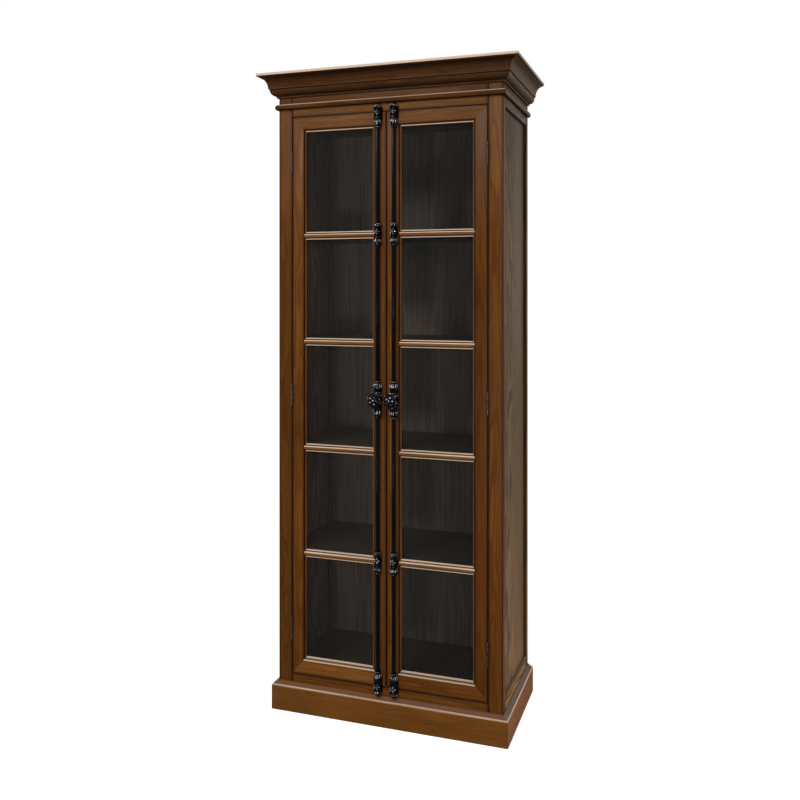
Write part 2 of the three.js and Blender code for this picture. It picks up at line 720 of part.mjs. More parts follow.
// A rod reaches from inside the case of the bolt to just short of the door's edge.
function rod(side, end) {
  const tail = BOLT_MIDDLE + end * ROD_HALF_GAP;
  return cylinder(ROD_RADIUS, ROD_SIDES, 'z', [boltX(side), ROD_Y], sorted(rodTip(end), tail));
}

// The knob is an upright oval with shallow lobes, on a neck and a spindle.
function knob(side) {
  const centre = new THREE.Vector3(boltX(side), FRONT - KNOB_STAND_OFF, BOLT_MIDDLE);
  const oval = new THREE.SphereGeometry(1, KNOB_SEGMENTS, KNOB_RINGS);
  oval.rotateX(Math.PI / 2);
  const position = oval.getAttribute('position');
  const half = new THREE.Vector3(KNOB_WIDTH, KNOB_DEPTH, KNOB_HEIGHT).divideScalar(2);
  const point = new THREE.Vector3();
  for (let i = 0; i < position.count; i += 1) {
    point.fromBufferAttribute(position, i);
    const ring = Math.hypot(point.x, point.z);
    const turn = Math.atan2(point.z, point.x);
    const lobe = KNOB_LOBE_DEPTH * ring * (1 - Math.cos(KNOB_LOBES * turn)) / 2;
    const shrink = 1 - lobe / half.x;
    position.setXYZ(
      i, centre.x + half.x * point.x * shrink, centre.y + half.y * point.y,
      centre.z + half.z * point.z * shrink,
    );
  }
  const place = [centre.x, centre.z];
  const caseFront = castingBack - CASE_REACH;
  const neck = cylinder(NECK_RADIUS, ROD_SIDES, 'y', place, [centre.y, caseFront - NECK_CLEARANCE]);
  const spindle = cylinder(
    SPINDLE_RADIUS, ROD_SIDES, 'y', place, [centre.y, caseFront + SPINDLE_DEPTH],
  );
  return join(oval, neck, spindle);
}

// The assembly

const bookcase = new THREE.Group();

function add(name, geometry, finish) {
  const mesh = new THREE.Mesh(geometry, new THREE.MeshStandardMaterial(FINISH[finish]));
  mesh.name = name;
  bookcase.add(mesh);
}

const SIDES = [['left', -1], ['right', 1]];
const ENDS = [['upper', 1], ['lower', -1]];
const HINGE_NAMES = ['bottom', 'middle', 'top'];

function addCase() {
  add('plinth', plinth(), 'frame_wood');
  add('face_rail_bottom', faceRail(BASE_CLEARANCE, OPENING_BOTTOM), 'frame_wood');
  add('face_rail_top', faceRail(OPENING_TOP, CASE_TOP_EDGE), 'frame_wood');
  add('bead_moulding', beadMoulding(), 'frame_wood');
  add('cornice', cornice(), 'frame_wood');
  add('top_board', topBoard(), 'frame_wood');
  add('back_panel', backPanel(), 'inside_wood');
  add('back_rail', backRail(), 'inside_wood');
  add('floor_board', endBoard(floorHeight), 'inside_wood');
  add('ceiling_board', endBoard(ceilingHeight), 'inside_wood');
  for (const row of shelfRows) add(`shelf_${row}`, shelf(row), 'inside_wood');
  for (const [name, side] of SIDES) {
    add(`face_stile_${name}`, post(side), 'frame_wood');
    add(`side_frame_${name}`, sideFrame(side), 'panel_wood');
    add(`side_panel_${name}`, sidePanel(side), 'panel_wood');
  }
}

function addDoor(name, side) {
  add(`door_frame_${name}`, doorFrame(side), 'frame_wood');
  add(`door_grille_${name}`, doorGrille(side), 'frame_wood');
  add(`door_glass_${name}`, doorGlass(side), 'glass');
  add(`glazing_bead_${name}`, glazingBead(side), 'frame_wood');
  hingeRows.forEach((middle, row) => {
    const place = `${name}_${HINGE_NAMES[row]}`;
    add(`hinge_frame_leaf_${place}`, frameHinge(side, middle), 'hinge_metal');
    add(`hinge_door_leaf_${place}`, doorHinge(side, middle), 'hinge_metal');
  });
}

function addBolt(name, side) {
  add(`bolt_case_${name}`, boltCase(side), 'cast_iron');
  add(`bolt_knob_${name}`, knob(side), 'cast_iron');
  for (const [place, end] of ENDS) {
    add(`bolt_rod_${name}_${place}`, rod(side, end), 'cast_iron');
    add(`bolt_end_guide_${name}_${place}`, endGuide(side, end), 'cast_iron');
    add(`bolt_middle_guide_${name}_${place}`, middleGuide(side, end), 'cast_iron');
    add(`bolt_keeper_${name}_${place}`, keeper(side, end), 'cast_iron');
  }
}

addCase();
for (const [name, side] of SIDES) {
  addDoor(name, side);
  addBolt(name, side);
}

export default bookcase;
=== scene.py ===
"""The looks of a tall display bookcase with a pair of glazed doors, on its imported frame.

Metres, X to the right, Y to the back, Z up. The origin lies on the floor, under the middle
of the whole object's footprint.
"""

import json
import logging
import math
from dataclasses import dataclass, field, replace
from enum import Enum
from typing import Sequence

import bmesh
import bpy
import numpy as np
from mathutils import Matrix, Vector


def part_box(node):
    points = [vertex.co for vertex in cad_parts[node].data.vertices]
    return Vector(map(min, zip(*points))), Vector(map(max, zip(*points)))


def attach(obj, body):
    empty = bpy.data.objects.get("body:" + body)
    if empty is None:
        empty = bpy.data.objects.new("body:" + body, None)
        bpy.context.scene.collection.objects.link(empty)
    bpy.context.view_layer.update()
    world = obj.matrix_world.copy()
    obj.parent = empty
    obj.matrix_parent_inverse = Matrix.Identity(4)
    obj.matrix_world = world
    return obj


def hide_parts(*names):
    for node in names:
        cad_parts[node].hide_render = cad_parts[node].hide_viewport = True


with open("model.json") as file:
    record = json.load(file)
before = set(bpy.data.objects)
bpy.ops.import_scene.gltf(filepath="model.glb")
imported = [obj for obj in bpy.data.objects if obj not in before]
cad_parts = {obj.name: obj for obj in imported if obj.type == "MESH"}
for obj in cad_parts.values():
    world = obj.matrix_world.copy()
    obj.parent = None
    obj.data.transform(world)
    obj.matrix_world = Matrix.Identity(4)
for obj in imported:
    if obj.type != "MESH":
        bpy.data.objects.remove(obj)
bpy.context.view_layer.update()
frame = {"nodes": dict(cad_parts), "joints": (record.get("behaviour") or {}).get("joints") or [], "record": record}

log = logging.getLogger("bookcase")

Colour = tuple[float, float, float]
Place = tuple[float, float, float]
Span = tuple[float, float]

BODY_OF = {
    node: body for body, nodes in frame["record"]["behaviour"]["bodies"].items() for node in nodes
}
SLOT_OF = {part["node"]: part["material_slot"] for part in frame["record"]["subparts"]}


class Axis(Enum):
    """An axis of the frame. A board's fibres run along one."""

    X = 0
    Y = 1
    Z = 2


class Side(Enum):
    """The two mirrored halves of the bookcase."""

    LEFT = -1
    RIGHT = 1

    @property
    def word(self) -> str:
        """The side's name inside the names of nodes."""
        return self.name.lower()

    def span(self, near: float, far: float) -> Span:
        """The X span from near to far of the middle, on this side."""
        return (near, far) if self is Side.RIGHT else (-far, -near)


# Shader expressions


class Value:
    """A number that varies over a surface, with arithmetic that adds the nodes it needs."""

    def __init__(self, tree: "Nodes", socket: bpy.types.NodeSocket) -> None:
        """Wraps an output socket of a node tree."""
        self.tree = tree
        self.socket = socket

    def _math(self, operation: str, *inputs: "Value | float") -> "Value":
        """Adds one Math node and returns its result."""
        values = dict(enumerate(inputs))
        return self.tree.node("ShaderNodeMath", {"operation": operation}, values)

    def __add__(self, other: "Value | float") -> "Value":
        """Sum."""
        return self._math("ADD", self, other)

    __radd__ = __add__

    def __sub__(self, other: "Value | float") -> "Value":
        """Difference."""
        return self._math("SUBTRACT", self, other)

    def __rsub__(self, other: float) -> "Value":
        """Difference with the number first."""
        return self._math("SUBTRACT", other, self)

    def __mul__(self, other: "Value | float") -> "Value":
        """Product."""
        return self._math("MULTIPLY", self, other)

    __rmul__ = __mul__

    def __truediv__(self, other: "Value | float") -> "Value":
        """Quotient."""
        return self._math("DIVIDE", self, other)

    def __pow__(self, power: float) -> "Value":
        """Power."""
        return self._math("POWER", self, power)

    def __gt__(self, limit: float) -> "Value":
        """One where the value is over the limit, and otherwise zero."""
        return self._math("GREATER_THAN", self, limit)

    def __abs__(self) -> "Value":
        """Distance from zero."""
        return self._math("ABSOLUTE", self)

    def fraction(self) -> "Value":
        """The part after the point."""
        return self._math("FRACT", self)

    def least(self, other: "Value | float") -> "Value":
        """The smaller of two values."""
        return self._math("MINIMUM", self, other)

    def most(self, other: "Value | float") -> "Value":
        """The larger of two values."""
        return self._math("MAXIMUM", self, other)

    def step(self, low: float, high: float, start: float = 0.0, end: float = 1.0) -> "Value":
        """Climbs smoothly from start to end while the value goes from low to high."""
        return self.tree.node(
            "ShaderNodeMapRange", {"interpolation_type": "SMOOTHSTEP"},
            {"Value": self, "From Min": low, "From Max": high, "To Min": start, "To Max": end},
        )


class Nodes:
    """A node tree that is built from expressions."""

    def __init__(self, tree: bpy.types.NodeTree) -> None:
        """Takes over a tree and empties it."""
        self.tree = tree
        self.tree.nodes.clear()

    def _set(self, socket: bpy.types.NodeSocket, value: object) -> None:
        """Fills an input socket.

        Args:
            socket: The socket.
            value: What it gets: a value is linked to it, and anything else is a constant.
        """
        if isinstance(value, Value):
            self.tree.links.new(value.socket, socket)
        else:
            socket.default_value = value

    def node(
        self, kind: str, settings: dict[str, object] | None = None,
        inputs: dict[str | int, object] | None = None, output: str | int = 0,
    ) -> Value:
        """Adds any node.

        Args:
            kind: The node's type.
            settings: The node's own settings, which are set first. "stops" fills a colour
                ramp with pairs of place and colour.
            inputs: The values or links of its sockets, by name or number.
            output: The socket to return.

        Returns:
            The wrapped output socket.
        """
        made = self.tree.nodes.new(kind)
        for key, value in (settings or {}).items():
            if key == "stops":
                ramp = made.color_ramp.elements
                while len(ramp) < len(value):
                    ramp.new(1.0)
                for element, (place, colour) in zip(ramp, value):
                    element.position = place
                    element.color = (*colour, 1.0)
            else:
                setattr(made, key, value)
        for key, value in (inputs or {}).items():
            self._set(made.inputs[key], value)
        return Value(self, made.outputs[output])

    def end(self, kind: str, surface: Value) -> None:
        """Adds the tree's output node and links its surface."""
        output = self.tree.nodes.new(kind)
        self.tree.links.new(surface.socket, output.inputs["Surface"])


class Shader(Nodes):
    """A material with one surface shader."""

    def __init__(self, name: str) -> None:
        """Makes the material."""
        self.material = bpy.data.materials.new(name)
        self.material.use_nodes = True
        super().__init__(self.material.node_tree)
        self.surface = self.node("ShaderNodeBsdfPrincipled")
        self.end("ShaderNodeOutputMaterial", self.surface)

    def place(self) -> tuple[Value, Value, Value]:
        """The three object coordinates of the shaded point."""
        spot = self.node("ShaderNodeTexCoord", output="Object")
        parts = self.node("ShaderNodeSeparateXYZ", inputs={0: spot})
        sockets = parts.socket.node.outputs
        return tuple(Value(self, sockets[i]) for i in range(3))

    def upward(self) -> Value:
        """How far the surface faces up: 1 on a level top and 0 on an upright face."""
        normal = self.node("ShaderNodeTexCoord", output="Normal")
        return self.node("ShaderNodeSeparateXYZ", inputs={0: normal}, output=2)

    def wear(self) -> Value:
        """How far the finish is abraded and painted with a highlight, or where it is negative, glazed and painted
        with shade.
        """
        return self.node("ShaderNodeAttribute", {"attribute_name": "wear"}, output="Fac")

    def vector(self, x: Value, y: Value, z: Value) -> Value:
        """Three numbers as one vector."""
        return self.node("ShaderNodeCombineXYZ", inputs={0: x, 1: y, 2: z})

    def noise(
        self, spot: Value, scale: Sequence[float], shift: Sequence[float], detail: float = 1.0,
    ) -> Value:
        """Smooth noise about zero.

        Args:
            spot: The vector at which it is read.
            scale: Its waves in a metre along each axis.
            shift: An offset, which picks another part of it.
            detail: How many finer waves it holds.

        Returns:
            The noise, mostly between -0.3 and 0.3.
        """
        mapped = self.node(
            "ShaderNodeMapping",
            inputs={"Vector": spot, "Location": tuple(shift), "Scale": tuple(scale)},
        )
        wave = self.node(
            "ShaderNodeTexNoise", inputs={"Vector": mapped, "Scale": 1.0, "Detail": detail},
        )
        return wave - 0.5

    def mix(self, first: Value | Colour, second: Value | Colour, share: Value) -> Value:
        """Lays one colour over another.

        Args:
            first: The colour below.
            second: The colour on top.
            share: How much of the second shows, from 0 to 1.

        Returns:
            The mixed colour.
        """
        colours = [
            colour if isinstance(colour, Value) else (*colour, 1.0) for colour in (first, second)
        ]
        return self.node(
            "ShaderNodeMix", {"data_type": "RGBA", "clamp_factor": True},
            {0: share, 6: colours[0], 7: colours[1]}, output=2,
        )

    def finish(self, **sockets: object) -> bpy.types.Material:
        """Fills the surface's sockets.

        Args:
            sockets: Values by the socket's name, in which underscores stand for spaces.

        Returns:
            The material.
        """
        inputs = self.surface.socket.node.inputs
        for name, value in sockets.items():
            self._set(inputs[name.replace("_", " ")], value)
        return self.material

    def bump(self, height: Value, strength: float, distance: float) -> Value:
        """A bent normal from a height."""
        return self.node(
            "ShaderNodeBump", inputs={"Strength": strength, "Distance": distance, "Height": height},
        )


# Finishes


@dataclass(frozen=True)
class Ageing:
    """How one piece has aged, how its stain took, and the light and shade painted on it.

    Attributes:
        rubbed: How strongly its ridges are abraded pale with a painted highlight; where it is set, its grooves are
            glazed dark with painted shade too.
        outlined: How dark the fine line along its box edges is: glaze in the joints, and painted shade in the gaps
            between parts.
        tone: How much lighter its stain is than that of its neighbours: a tone of its own, which on some pieces
            also stands for painted light, and on others for painted shade.
        lit_top: Whether its top edges, which the light reaches, stay free of that dark line.
        arris: How strongly its top edges are painted pale, as a highlight of the light from above.
        dusk: The height above which the cornice's shadow is painted on it.
        fade: How strongly its finish's painted top colour lies on it towards the top of the case: a pale painted
            sheen on the front, painted shade on the side panels.
        lining: The finish of the face that looks into the case, where it has its own.
    """

    rubbed: float = 0.0
    outlined: float = 0.0
    tone: float = 0.0
    lit_top: bool = False
    arris: float = 0.0
    dusk: float | None = None
    fade: float = 0.0
    lining: "StainedOak | None" = None


BOARD = Ageing(outlined=0.9)


@dataclass(frozen=True)
class Member:
    """One wooden piece, as its finish sees it.

    Attributes:
        grain: The axis along which the fibres run.
        low: Its lowest corner.
        high: Its highest corner.
        seed: Picks its figure.
        ageing: Its abrasion, tone, and painted light and shade.
        seams: Places across it where one veneer leaf meets the next.
    """

    grain: Axis
    low: np.ndarray
    high: np.ndarray
    seed: int
    ageing: Ageing
    seams: Sequence[float] = ()


@dataclass(frozen=True)
class Streaks:
    """Noise that is drawn out along a board's fibres.

    Attributes:
        across: Its waves in a metre across the fibres.
        along: Its waves in a metre along them.
        offset: What sets it apart from the board's other noises.
        detail: How many finer waves it holds.
    """

    across: float
    along: float
    offset: float
    detail: float = 1.0

    def over(self, shader: Shader, fibres: Value, shift: np.ndarray) -> Value:
        """The noise on a board. The shift picks the board's own part of it."""
        scale = (self.across, self.across, self.along)
        return shader.noise(fibres, scale, shift + self.offset, self.detail)


COARSE = Streaks(6, 1.1, 0)
WANDER = Streaks(22, 4.2, 7)
BLOTCH = Streaks(9, 2.6, 13, detail=3.0)
STREAK = Streaks(420, 5.0, 19, detail=2.0)
HAIR = Streaks(1500, 16, 23)
DASH = Streaks(760, 30, 29)
SPACING = Streaks(65, 1.5, 31)


@dataclass(frozen=True)
class Figure:
    """What one board's wood draws on its surface.

    Attributes:
        spot: The object coordinates of the shaded point.
        across: The one of them that goes across the board.
        coarse: Slow waves along the fibres.
        blotch: Clouds in the stain.
        streak: Fine streaks along the fibres.
        hair: Hairlines along the fibres.
        late: 1 in the dense late growth and 0 in the open early growth.
        pores: 1 in a pore and 0 elsewhere.
        leaf: The number of the veneer leaf, counted across the board.
    """

    spot: tuple[Value, Value, Value]
    across: Value
    coarse: Value
    blotch: Value
    streak: Value
    hair: Value
    late: Value
    pores: Value
    leaf: Value | float


@dataclass(frozen=True)
class StainedOak:
    """Stained oak under a satin lacquer, with arched figure, pores and rubbed edges.

    Attributes:
        dark: The colour of the open early growth.
        middle: The colour between growth bands.
        light: The colour of the dense late growth.
        red: The colour of warm patches in the stain.
        worn: The colour of abraded edges and of painted highlights on ridges and top edges.
        gathered: The colour of glaze in grooves and joints, also laid as painted shade under the cornice, in
            grooves and on faces that look down.
        roughness: The lacquer's roughness.
        specular: The lacquer's specular level.
        band: The distance between growth bands.
        contrast: How strongly the growth bands show.
        ledge: The colour of the pale painted sheen on faces that look up.
        settled: How strong that painted sheen is.
        bloom: How far a face looks up where the painted sheen starts and where it is full.
        under: How much darker the faces are that look down: painted shade.
        faded: The colour painted towards the top of the case: pale as a sheen on the front, dark as shade on the
            side panels.
        uneven: How unevenly the growth bands are spaced.
        fading: The heights at which that painted colour starts and is full.
        shade: How dark the cornice's painted shadow is.
        shade_edge: Half of the height over which it darkens.
        seam: How far from a seam its dark line starts to thin out and where it ends.
        lining_edge: How far from the inner face its lining starts to thin out and where it ends.
        broad_edge: How far the soft dark band along a board's edges reaches.
        fine_edge: How far the dark line along them reaches.
        worn_edge: How far the painted highlight on a top edge reaches.
        leaf_shift: How far apart two veneer leaves lie in the noises.
        leaf_step: How far apart two veneer leaves lie across the growth rings.
    """

    dark: Colour
    middle: Colour
    light: Colour
    red: Colour
    worn: Colour
    gathered: Colour
    roughness: float
    specular: float
    band: float = 0.0052
    contrast: float = 0.28
    ledge: Colour = (0.34, 0.26, 0.2)
    settled: float = 0.6
    bloom: Span = (0.2, 0.9)
    under: float = 0.0
    faded: Colour = (0.25, 0.18, 0.13)
    uneven: float = 0.0
    fading: Span = (1.55, 2.1)
    shade: float = 0.33
    shade_edge: float = 0.004
    seam: Span = (0.0002, 0.0009)
    lining_edge: Span = (0.0005, 0.0015)
    broad_edge: float = 0.011
    fine_edge: float = 0.0028
    worn_edge: float = 0.0062
    leaf_shift: float = 1.7
    leaf_step: float = 0.031

    def stain(self, shader: Shader, tone: Value) -> Value:
        """The stain's colour from its tone, from dark at 0 to light at 1."""
        stops = [(0.08, self.dark), (0.5, self.middle), (0.92, self.light)]
        return shader.node("ShaderNodeValToRGB", {"stops": stops}, {0: tone})

    def _edges(self, member: Member, figure: Figure, fuzz: Value, reach: float) -> Value:
        """Where two faces of a member are close by.

        For each axis a value climbs to 1 as the point nears a face on it, and the products
        of every two of these are added up.

        Args:
            member: The member.
            figure: Its figure.
            fuzz: Noise that makes the line ragged.
            reach: How far from the edge it starts.

        Returns:
            The share of the edge's colour.
        """
        spot = figure.spot
        middle = (member.low + member.high) / 2
        half = (member.high - member.low) / 2
        close = [
            (abs(spot[i] - float(middle[i])) + fuzz * reach).step(
                float(half[i]) - reach, float(half[i]) - reach * 0.15)
            for i in range(3)
        ]
        return close[0] * close[1] + close[1] * close[2] + close[2] * close[0]

    def _figure(self, shader: Shader, member: Member) -> Figure:
        """Draws the figure of one member.

        The growth bands are rings round a heart line that lies below the member's face and
        tilts and wanders along it, which draws arches: the distance from that line, divided
        by the distance between bands. The part after the point tells the place in a band.
        Pores are fine dashes along the fibres, most of them in the early growth.

        Args:
            shader: Its material.
            member: The member.

        Returns:
            The figure.
        """
        spot = shader.place()
        size, seams = member.high - member.low, member.seams
        others = sorted(
            (axis.value for axis in Axis if axis is not member.grain), key=lambda i: size[i],
        )
        thickness, breadth = others
        across, through, along = spot[breadth], spot[thickness], spot[member.grain.value]
        draw = np.random.default_rng(member.seed)
        shift = draw.uniform(-30, 30, 3)
        leaf: Value | float = 0.0
        for seam in seams:
            leaf = (across > seam) + leaf
        sheet = through + leaf * self.leaf_shift if seams else through
        fibres = shader.vector(across, sheet, along)
        coarse, wander, blotch, streak, hair, dash = (
            noise.over(shader, fibres, shift)
            for noise in (COARSE, WANDER, BLOTCH, STREAK, HAIR, DASH)
        )
        heart = float(member.low[breadth] + float(size[breadth]) * draw.uniform(0.25, 0.75))
        lean = float(draw.choice([-1, 1]) * draw.uniform(0.006, 0.02))
        sideways = across - heart + coarse * 0.06
        if seams:
            sideways = sideways + leaf * self.leaf_step
        buried = 0.03 + float(draw.uniform(0, 0.03))
        depth = through * 0.5 + along * lean + wander * 0.02 + buried
        rings = (sideways * sideways + depth * depth) ** 0.5 / self.band
        if self.uneven:
            rings = rings + SPACING.over(shader, fibres, shift) * self.uneven
        phase = (rings + hair * 0.15).fraction()
        late = phase.step(0.05, 0.7) * (1.0 - phase.step(0.9, 1.0))
        pores = dash.step(0.09, 0.2) * (1.0 - late * 0.75)
        return Figure(spot, across, coarse, blotch, streak, hair, late, pores, leaf)

    def _stained(self, shader: Shader, member: Member, figure: Figure) -> Value:
        """Lays the stain on the figure, with its warm patches, pores and seams.

        The tone adds up the growth bands, streaks, hairlines and clouds about the middle, and each veneer leaf has
        a tone of its own; leaves further to the right are darker by a steady step, which is painted shade.

        Args:
            shader: Its material.
            member: The member.
            figure: Its figure.

        Returns:
            The colour.
        """
        ageing, seams = member.ageing, member.seams
        tone = (
            (figure.late - 0.5) * self.contrast * 0.5 + figure.streak * 0.5 + figure.hair * 0.3
            + figure.blotch * 0.6 + (0.5 + ageing.tone)
        )
        if seams:
            leaf = figure.leaf
            # Each leaf to the right is darker by a steady step: painted shade across the back, over a tone of its
            # own.
            tone = tone + ((leaf * 0.381).fraction() * 0.1 - leaf * 0.09 + 0.14)
        colour = self.stain(shader, tone)
        if ageing.lining is not None:
            inner = float(min(abs(member.low[0]), abs(member.high[0])))
            near, far = self.lining_edge
            outer = abs(figure.spot[0]).step(inner + near, inner + far)
            colour = shader.mix(ageing.lining.stain(shader, tone), colour, outer)
        warm = (figure.coarse + figure.blotch * 0.6).step(0.02, 0.3) * 0.5
        colour = shader.mix(colour, self.red, warm)
        colour = shader.mix(colour, self.dark, figure.pores * 0.6)
        for seam in seams:
            line = 1.0 - abs(figure.across - seam).step(*self.seam)
            colour = shader.mix(colour, self.dark, line * 0.7)
        return colour

    def _aged(self, shader: Shader, member: Member, figure: Figure, colour: Value) -> Value:
        """Lays painted light and shade, abrasion and glaze over a member's colour.

        Args:
            shader: Its material.
            member: The member.
            figure: Its figure.
            colour: Its fresh colour.

        Returns:
            The colour.
        """
        ageing = member.ageing
        spot, blotch, streak = figure.spot, figure.blotch, figure.streak
        facing = shader.upward()
        # Towards the top of the case the colour is painted: a pale sheen on the front, shade on the side panels.
        if ageing.fade:
            share = (spot[2] + figure.coarse * 0.3).step(*self.fading) * ageing.fade
            colour = shader.mix(colour, self.faded, share)
        # Above the shadow height the cornice's shadow is painted on.
        if ageing.dusk is not None:
            edge = self.shade_edge
            above = spot[2].step(ageing.dusk - edge, ageing.dusk + edge)
            colour = shader.mix(colour, self.gathered, above * self.shade)
        # Faces that look up are painted paler: a painted sheen of the light from above.
        if self.settled:
            bloom = facing.step(*self.bloom) * (blotch * 0.9 + self.settled)
            colour = shader.mix(colour, self.ledge, bloom)
        # Ridges get abrasion and a painted highlight; grooves get glaze and painted shade.
        if ageing.rubbed:
            wear = shader.wear()
            ridge = (wear + streak * 0.35).step(0.3, 0.95)
            colour = shader.mix(colour, self.worn, ridge * ageing.rubbed)
            colour = shader.mix(colour, self.gathered, (0.0 - wear).step(0.15, 0.65) * 0.95)
        # Faces that look down are darkened: painted shade.
        if self.under:
            down = (0.0 - facing).step(0.1, 0.85)
            colour = shader.mix(colour, self.gathered, down * self.under)
        if ageing.outlined:
            broad = self._edges(member, figure, blotch, self.broad_edge)
            colour = shader.mix(colour, self.dark, (broad * 0.5).least(0.5))
            # The fine dark line is glaze, and painted shade in the gaps between parts; top edges that the light
            # reaches are left out.
            fine = self._edges(member, figure, streak + blotch * 0.5, self.fine_edge)
            if ageing.lit_top:
                fine = fine * (1.0 - facing.step(0.1, 0.5))
            colour = shader.mix(colour, self.gathered, (fine * ageing.outlined).least(1.0))
        # Top edges are painted pale, most on the front: a painted highlight of the light from above.
        if ageing.arris:
            upper = spot[2] > float(member.low[2] * 0.8 + member.high[2] * 0.2)
            reach = self.worn_edge * max(1.0, ageing.arris)
            edges = self._edges(member, figure, streak * 0.5, reach)
            front = 1.0 - facing.step(0.4, 0.9) * 0.75
            rub = (edges * upper * ageing.arris).least(1.0) * front
            colour = shader.mix(colour, self.worn, rub)
        return colour

    def material(self, name: str, member: Member) -> bpy.types.Material:
        """The finish of one member.

        Args:
            name: The material's name.
            member: The member.

        Returns:
            The material.
        """
        shader = Shader(name)
        figure = self._figure(shader, member)
        colour = self._stained(shader, member, figure)
        height = figure.late * 0.3 + figure.hair * 0.35 - figure.pores
        return shader.finish(
            Base_Color=self._aged(shader, member, figure, colour),
            Roughness=self.roughness + figure.pores * 0.18 + figure.blotch * 0.16,
            Specular_IOR_Level=self.specular,
            Normal=shader.bump(height, 0.3, 0.00025),
        )


@dataclass(frozen=True)
class Casting:
    """Black enamel on rough cast metal, with painted glints.

    Attributes:
        colour: The enamel's colour.
        rubbed: The colour where the enamel has gone to the metal, and of painted glints.
        roughness: The enamel's roughness.
        crest: How strongly the crests of the relief show the metal and carry painted glints.
        broken: How strongly flecks break those crests up.
        flecked: How strongly flecks of metal and painted glints show away from the crests.
        thinned: The sum of these at which the metal and the painted glints start to show and are full.
    """

    colour: Colour = (0.0008, 0.0008, 0.001)
    rubbed: Colour = (0.36, 0.37, 0.39)
    roughness: float = 0.16
    crest: float = 0.62
    broken: float = 1.5
    flecked: float = 0.6
    thinned: Span = (0.32, 0.78)

    def material(self, name: str) -> bpy.types.Material:
        """Crests showing the metal with painted glints, and slow stains, over a pebbled skin.

        Args:
            name: The material's name.

        Returns:
            The material.
        """
        shader = Shader(name)
        spot = shader.vector(*shader.place())
        stain = shader.noise(spot, (70, 70, 70), (3, 5, 7), detail=3.0)
        pebble = shader.noise(spot, (900, 900, 900), (1, 2, 3), detail=2.0)
        fleck_and_glint = shader.noise(spot, (240, 240, 240), (9, 4, 2), detail=1.0)
        # Crests that look up get more: painted glints of the light from above, as well as metal showing through.
        upper = shader.upward().step(-0.6, 0.35, 0.5, 1.0)
        ridge = shader.wear() * (upper * self.crest + fleck_and_glint * self.broken)
        bare_and_glint = (ridge + fleck_and_glint * self.flecked).step(*self.thinned)
        return shader.finish(
            Base_Color=shader.mix(self.colour, self.rubbed, bare_and_glint),
            Metallic=bare_and_glint * 0.5,
            Roughness=self.roughness + stain * 0.12 + pebble * 0.06,
            Specular_IOR_Level=0.06,
            Normal=shader.bump(pebble + stain * 1.5, 0.3, 0.0004),
        )


@dataclass(frozen=True)
class Bronze:
    """Dark bronze plating, drawn and slightly tarnished.

    Attributes:
        colour: The plating's colour.
        tarnish: The colour of its stains.
        roughness: Its roughness.
    """

    colour: Colour = (0.07, 0.052, 0.038)
    tarnish: Colour = (0.014, 0.01, 0.008)
    roughness: float = 0.38

    def material(self, name: str) -> bpy.types.Material:
        """Stains over lines drawn round the knuckles.

        Args:
            name: The material's name.

        Returns:
            The material.
        """
        shader = Shader(name)
        spot = shader.vector(*shader.place())
        stain = shader.noise(spot, (160, 160, 160), (2, 4, 6), detail=3.0)
        drawn = shader.noise(spot, (40, 40, 2600), (1, 1, 1))
        return shader.finish(
            Base_Color=shader.mix(self.colour, self.tarnish, stain.step(-0.1, 0.22)),
            Metallic=0.9,
            Roughness=self.roughness + stain * 0.4,
            Normal=shader.bump(drawn, 0.12, 0.0001),
        )


@dataclass(frozen=True)
class ClearGlass:
    """Float glass, seen as a thin sheet with a faint film that paints the case's inside lighter on the left and
    darker on the right.

    Attributes:
        colour: The colour of the film on the left, where it paints the inside lighter.
        clear: Its colour on the right.
        cover: How much of what lies behind it the sheet holds back on the left.
        smoky: How much it holds back on the right, where it paints the inside darker.
        change: The X at which the film of the right starts and is full.
        patch: The X and Z of the middle of a spot that holds back more: painted shade over the inside behind it.
        patch_core: How far sideways and up that spot is full.
        patch_rim: How far sideways and up it ends.
        patch_cover: How much more it holds back.
    """

    colour: Colour = (0.022, 0.019, 0.0165)
    clear: Colour = (0.012, 0.0115, 0.0105)
    cover: float = 0.29
    smoky: float = 0.39
    change: Span = (0.06, 0.3)
    patch: Span = (0.14, 1.71)
    patch_core: Span = (0.06, 0.1)
    patch_rim: Span = (0.15, 0.22)
    patch_cover: float = 0.13

    def material(self, name: str) -> bpy.types.Material:
        """The sheet, mixed by alpha with what lies behind it.

        Args:
            name: The material's name.

        Returns:
            The material.
        """
        shader = Shader(name)
        shader.material.surface_render_method = "BLENDED"
        place = shader.place()
        film = shader.noise(shader.vector(*place), (5, 5, 3), (11, 3, 8), detail=4.0)
        # Lighter and clearer on the left, darker and denser on the right and in one spot: painted light and shade
        # on the case's inside.
        right = (place[0] + film * 0.2).step(*self.change)
        beside, above = (
            1.0 - abs(place[axis.value] - middle).step(core, rim)
            for axis, middle, core, rim in zip(
                (Axis.X, Axis.Z), self.patch, self.patch_core, self.patch_rim)
        )
        patch = beside * above
        held = right * (self.smoky - self.cover) + patch * self.patch_cover + self.cover
        return shader.finish(
            Base_Color=shader.mix(self.colour, self.clear, (right + patch).least(1.0)),
            Roughness=0.06 + film * 0.06,
            Alpha=held,
            Specular_IOR_Level=0.03,
        )


FRAME_OAK = StainedOak(
    dark=(0.031, 0.0085, 0.0009), middle=(0.081, 0.0262, 0.0029), light=(0.17, 0.064, 0.011),
    red=(0.09, 0.02, 0.0028), worn=(0.55, 0.42, 0.3), gathered=(0.004, 0.0014, 0.0008),
    roughness=0.42, specular=0.045,
)
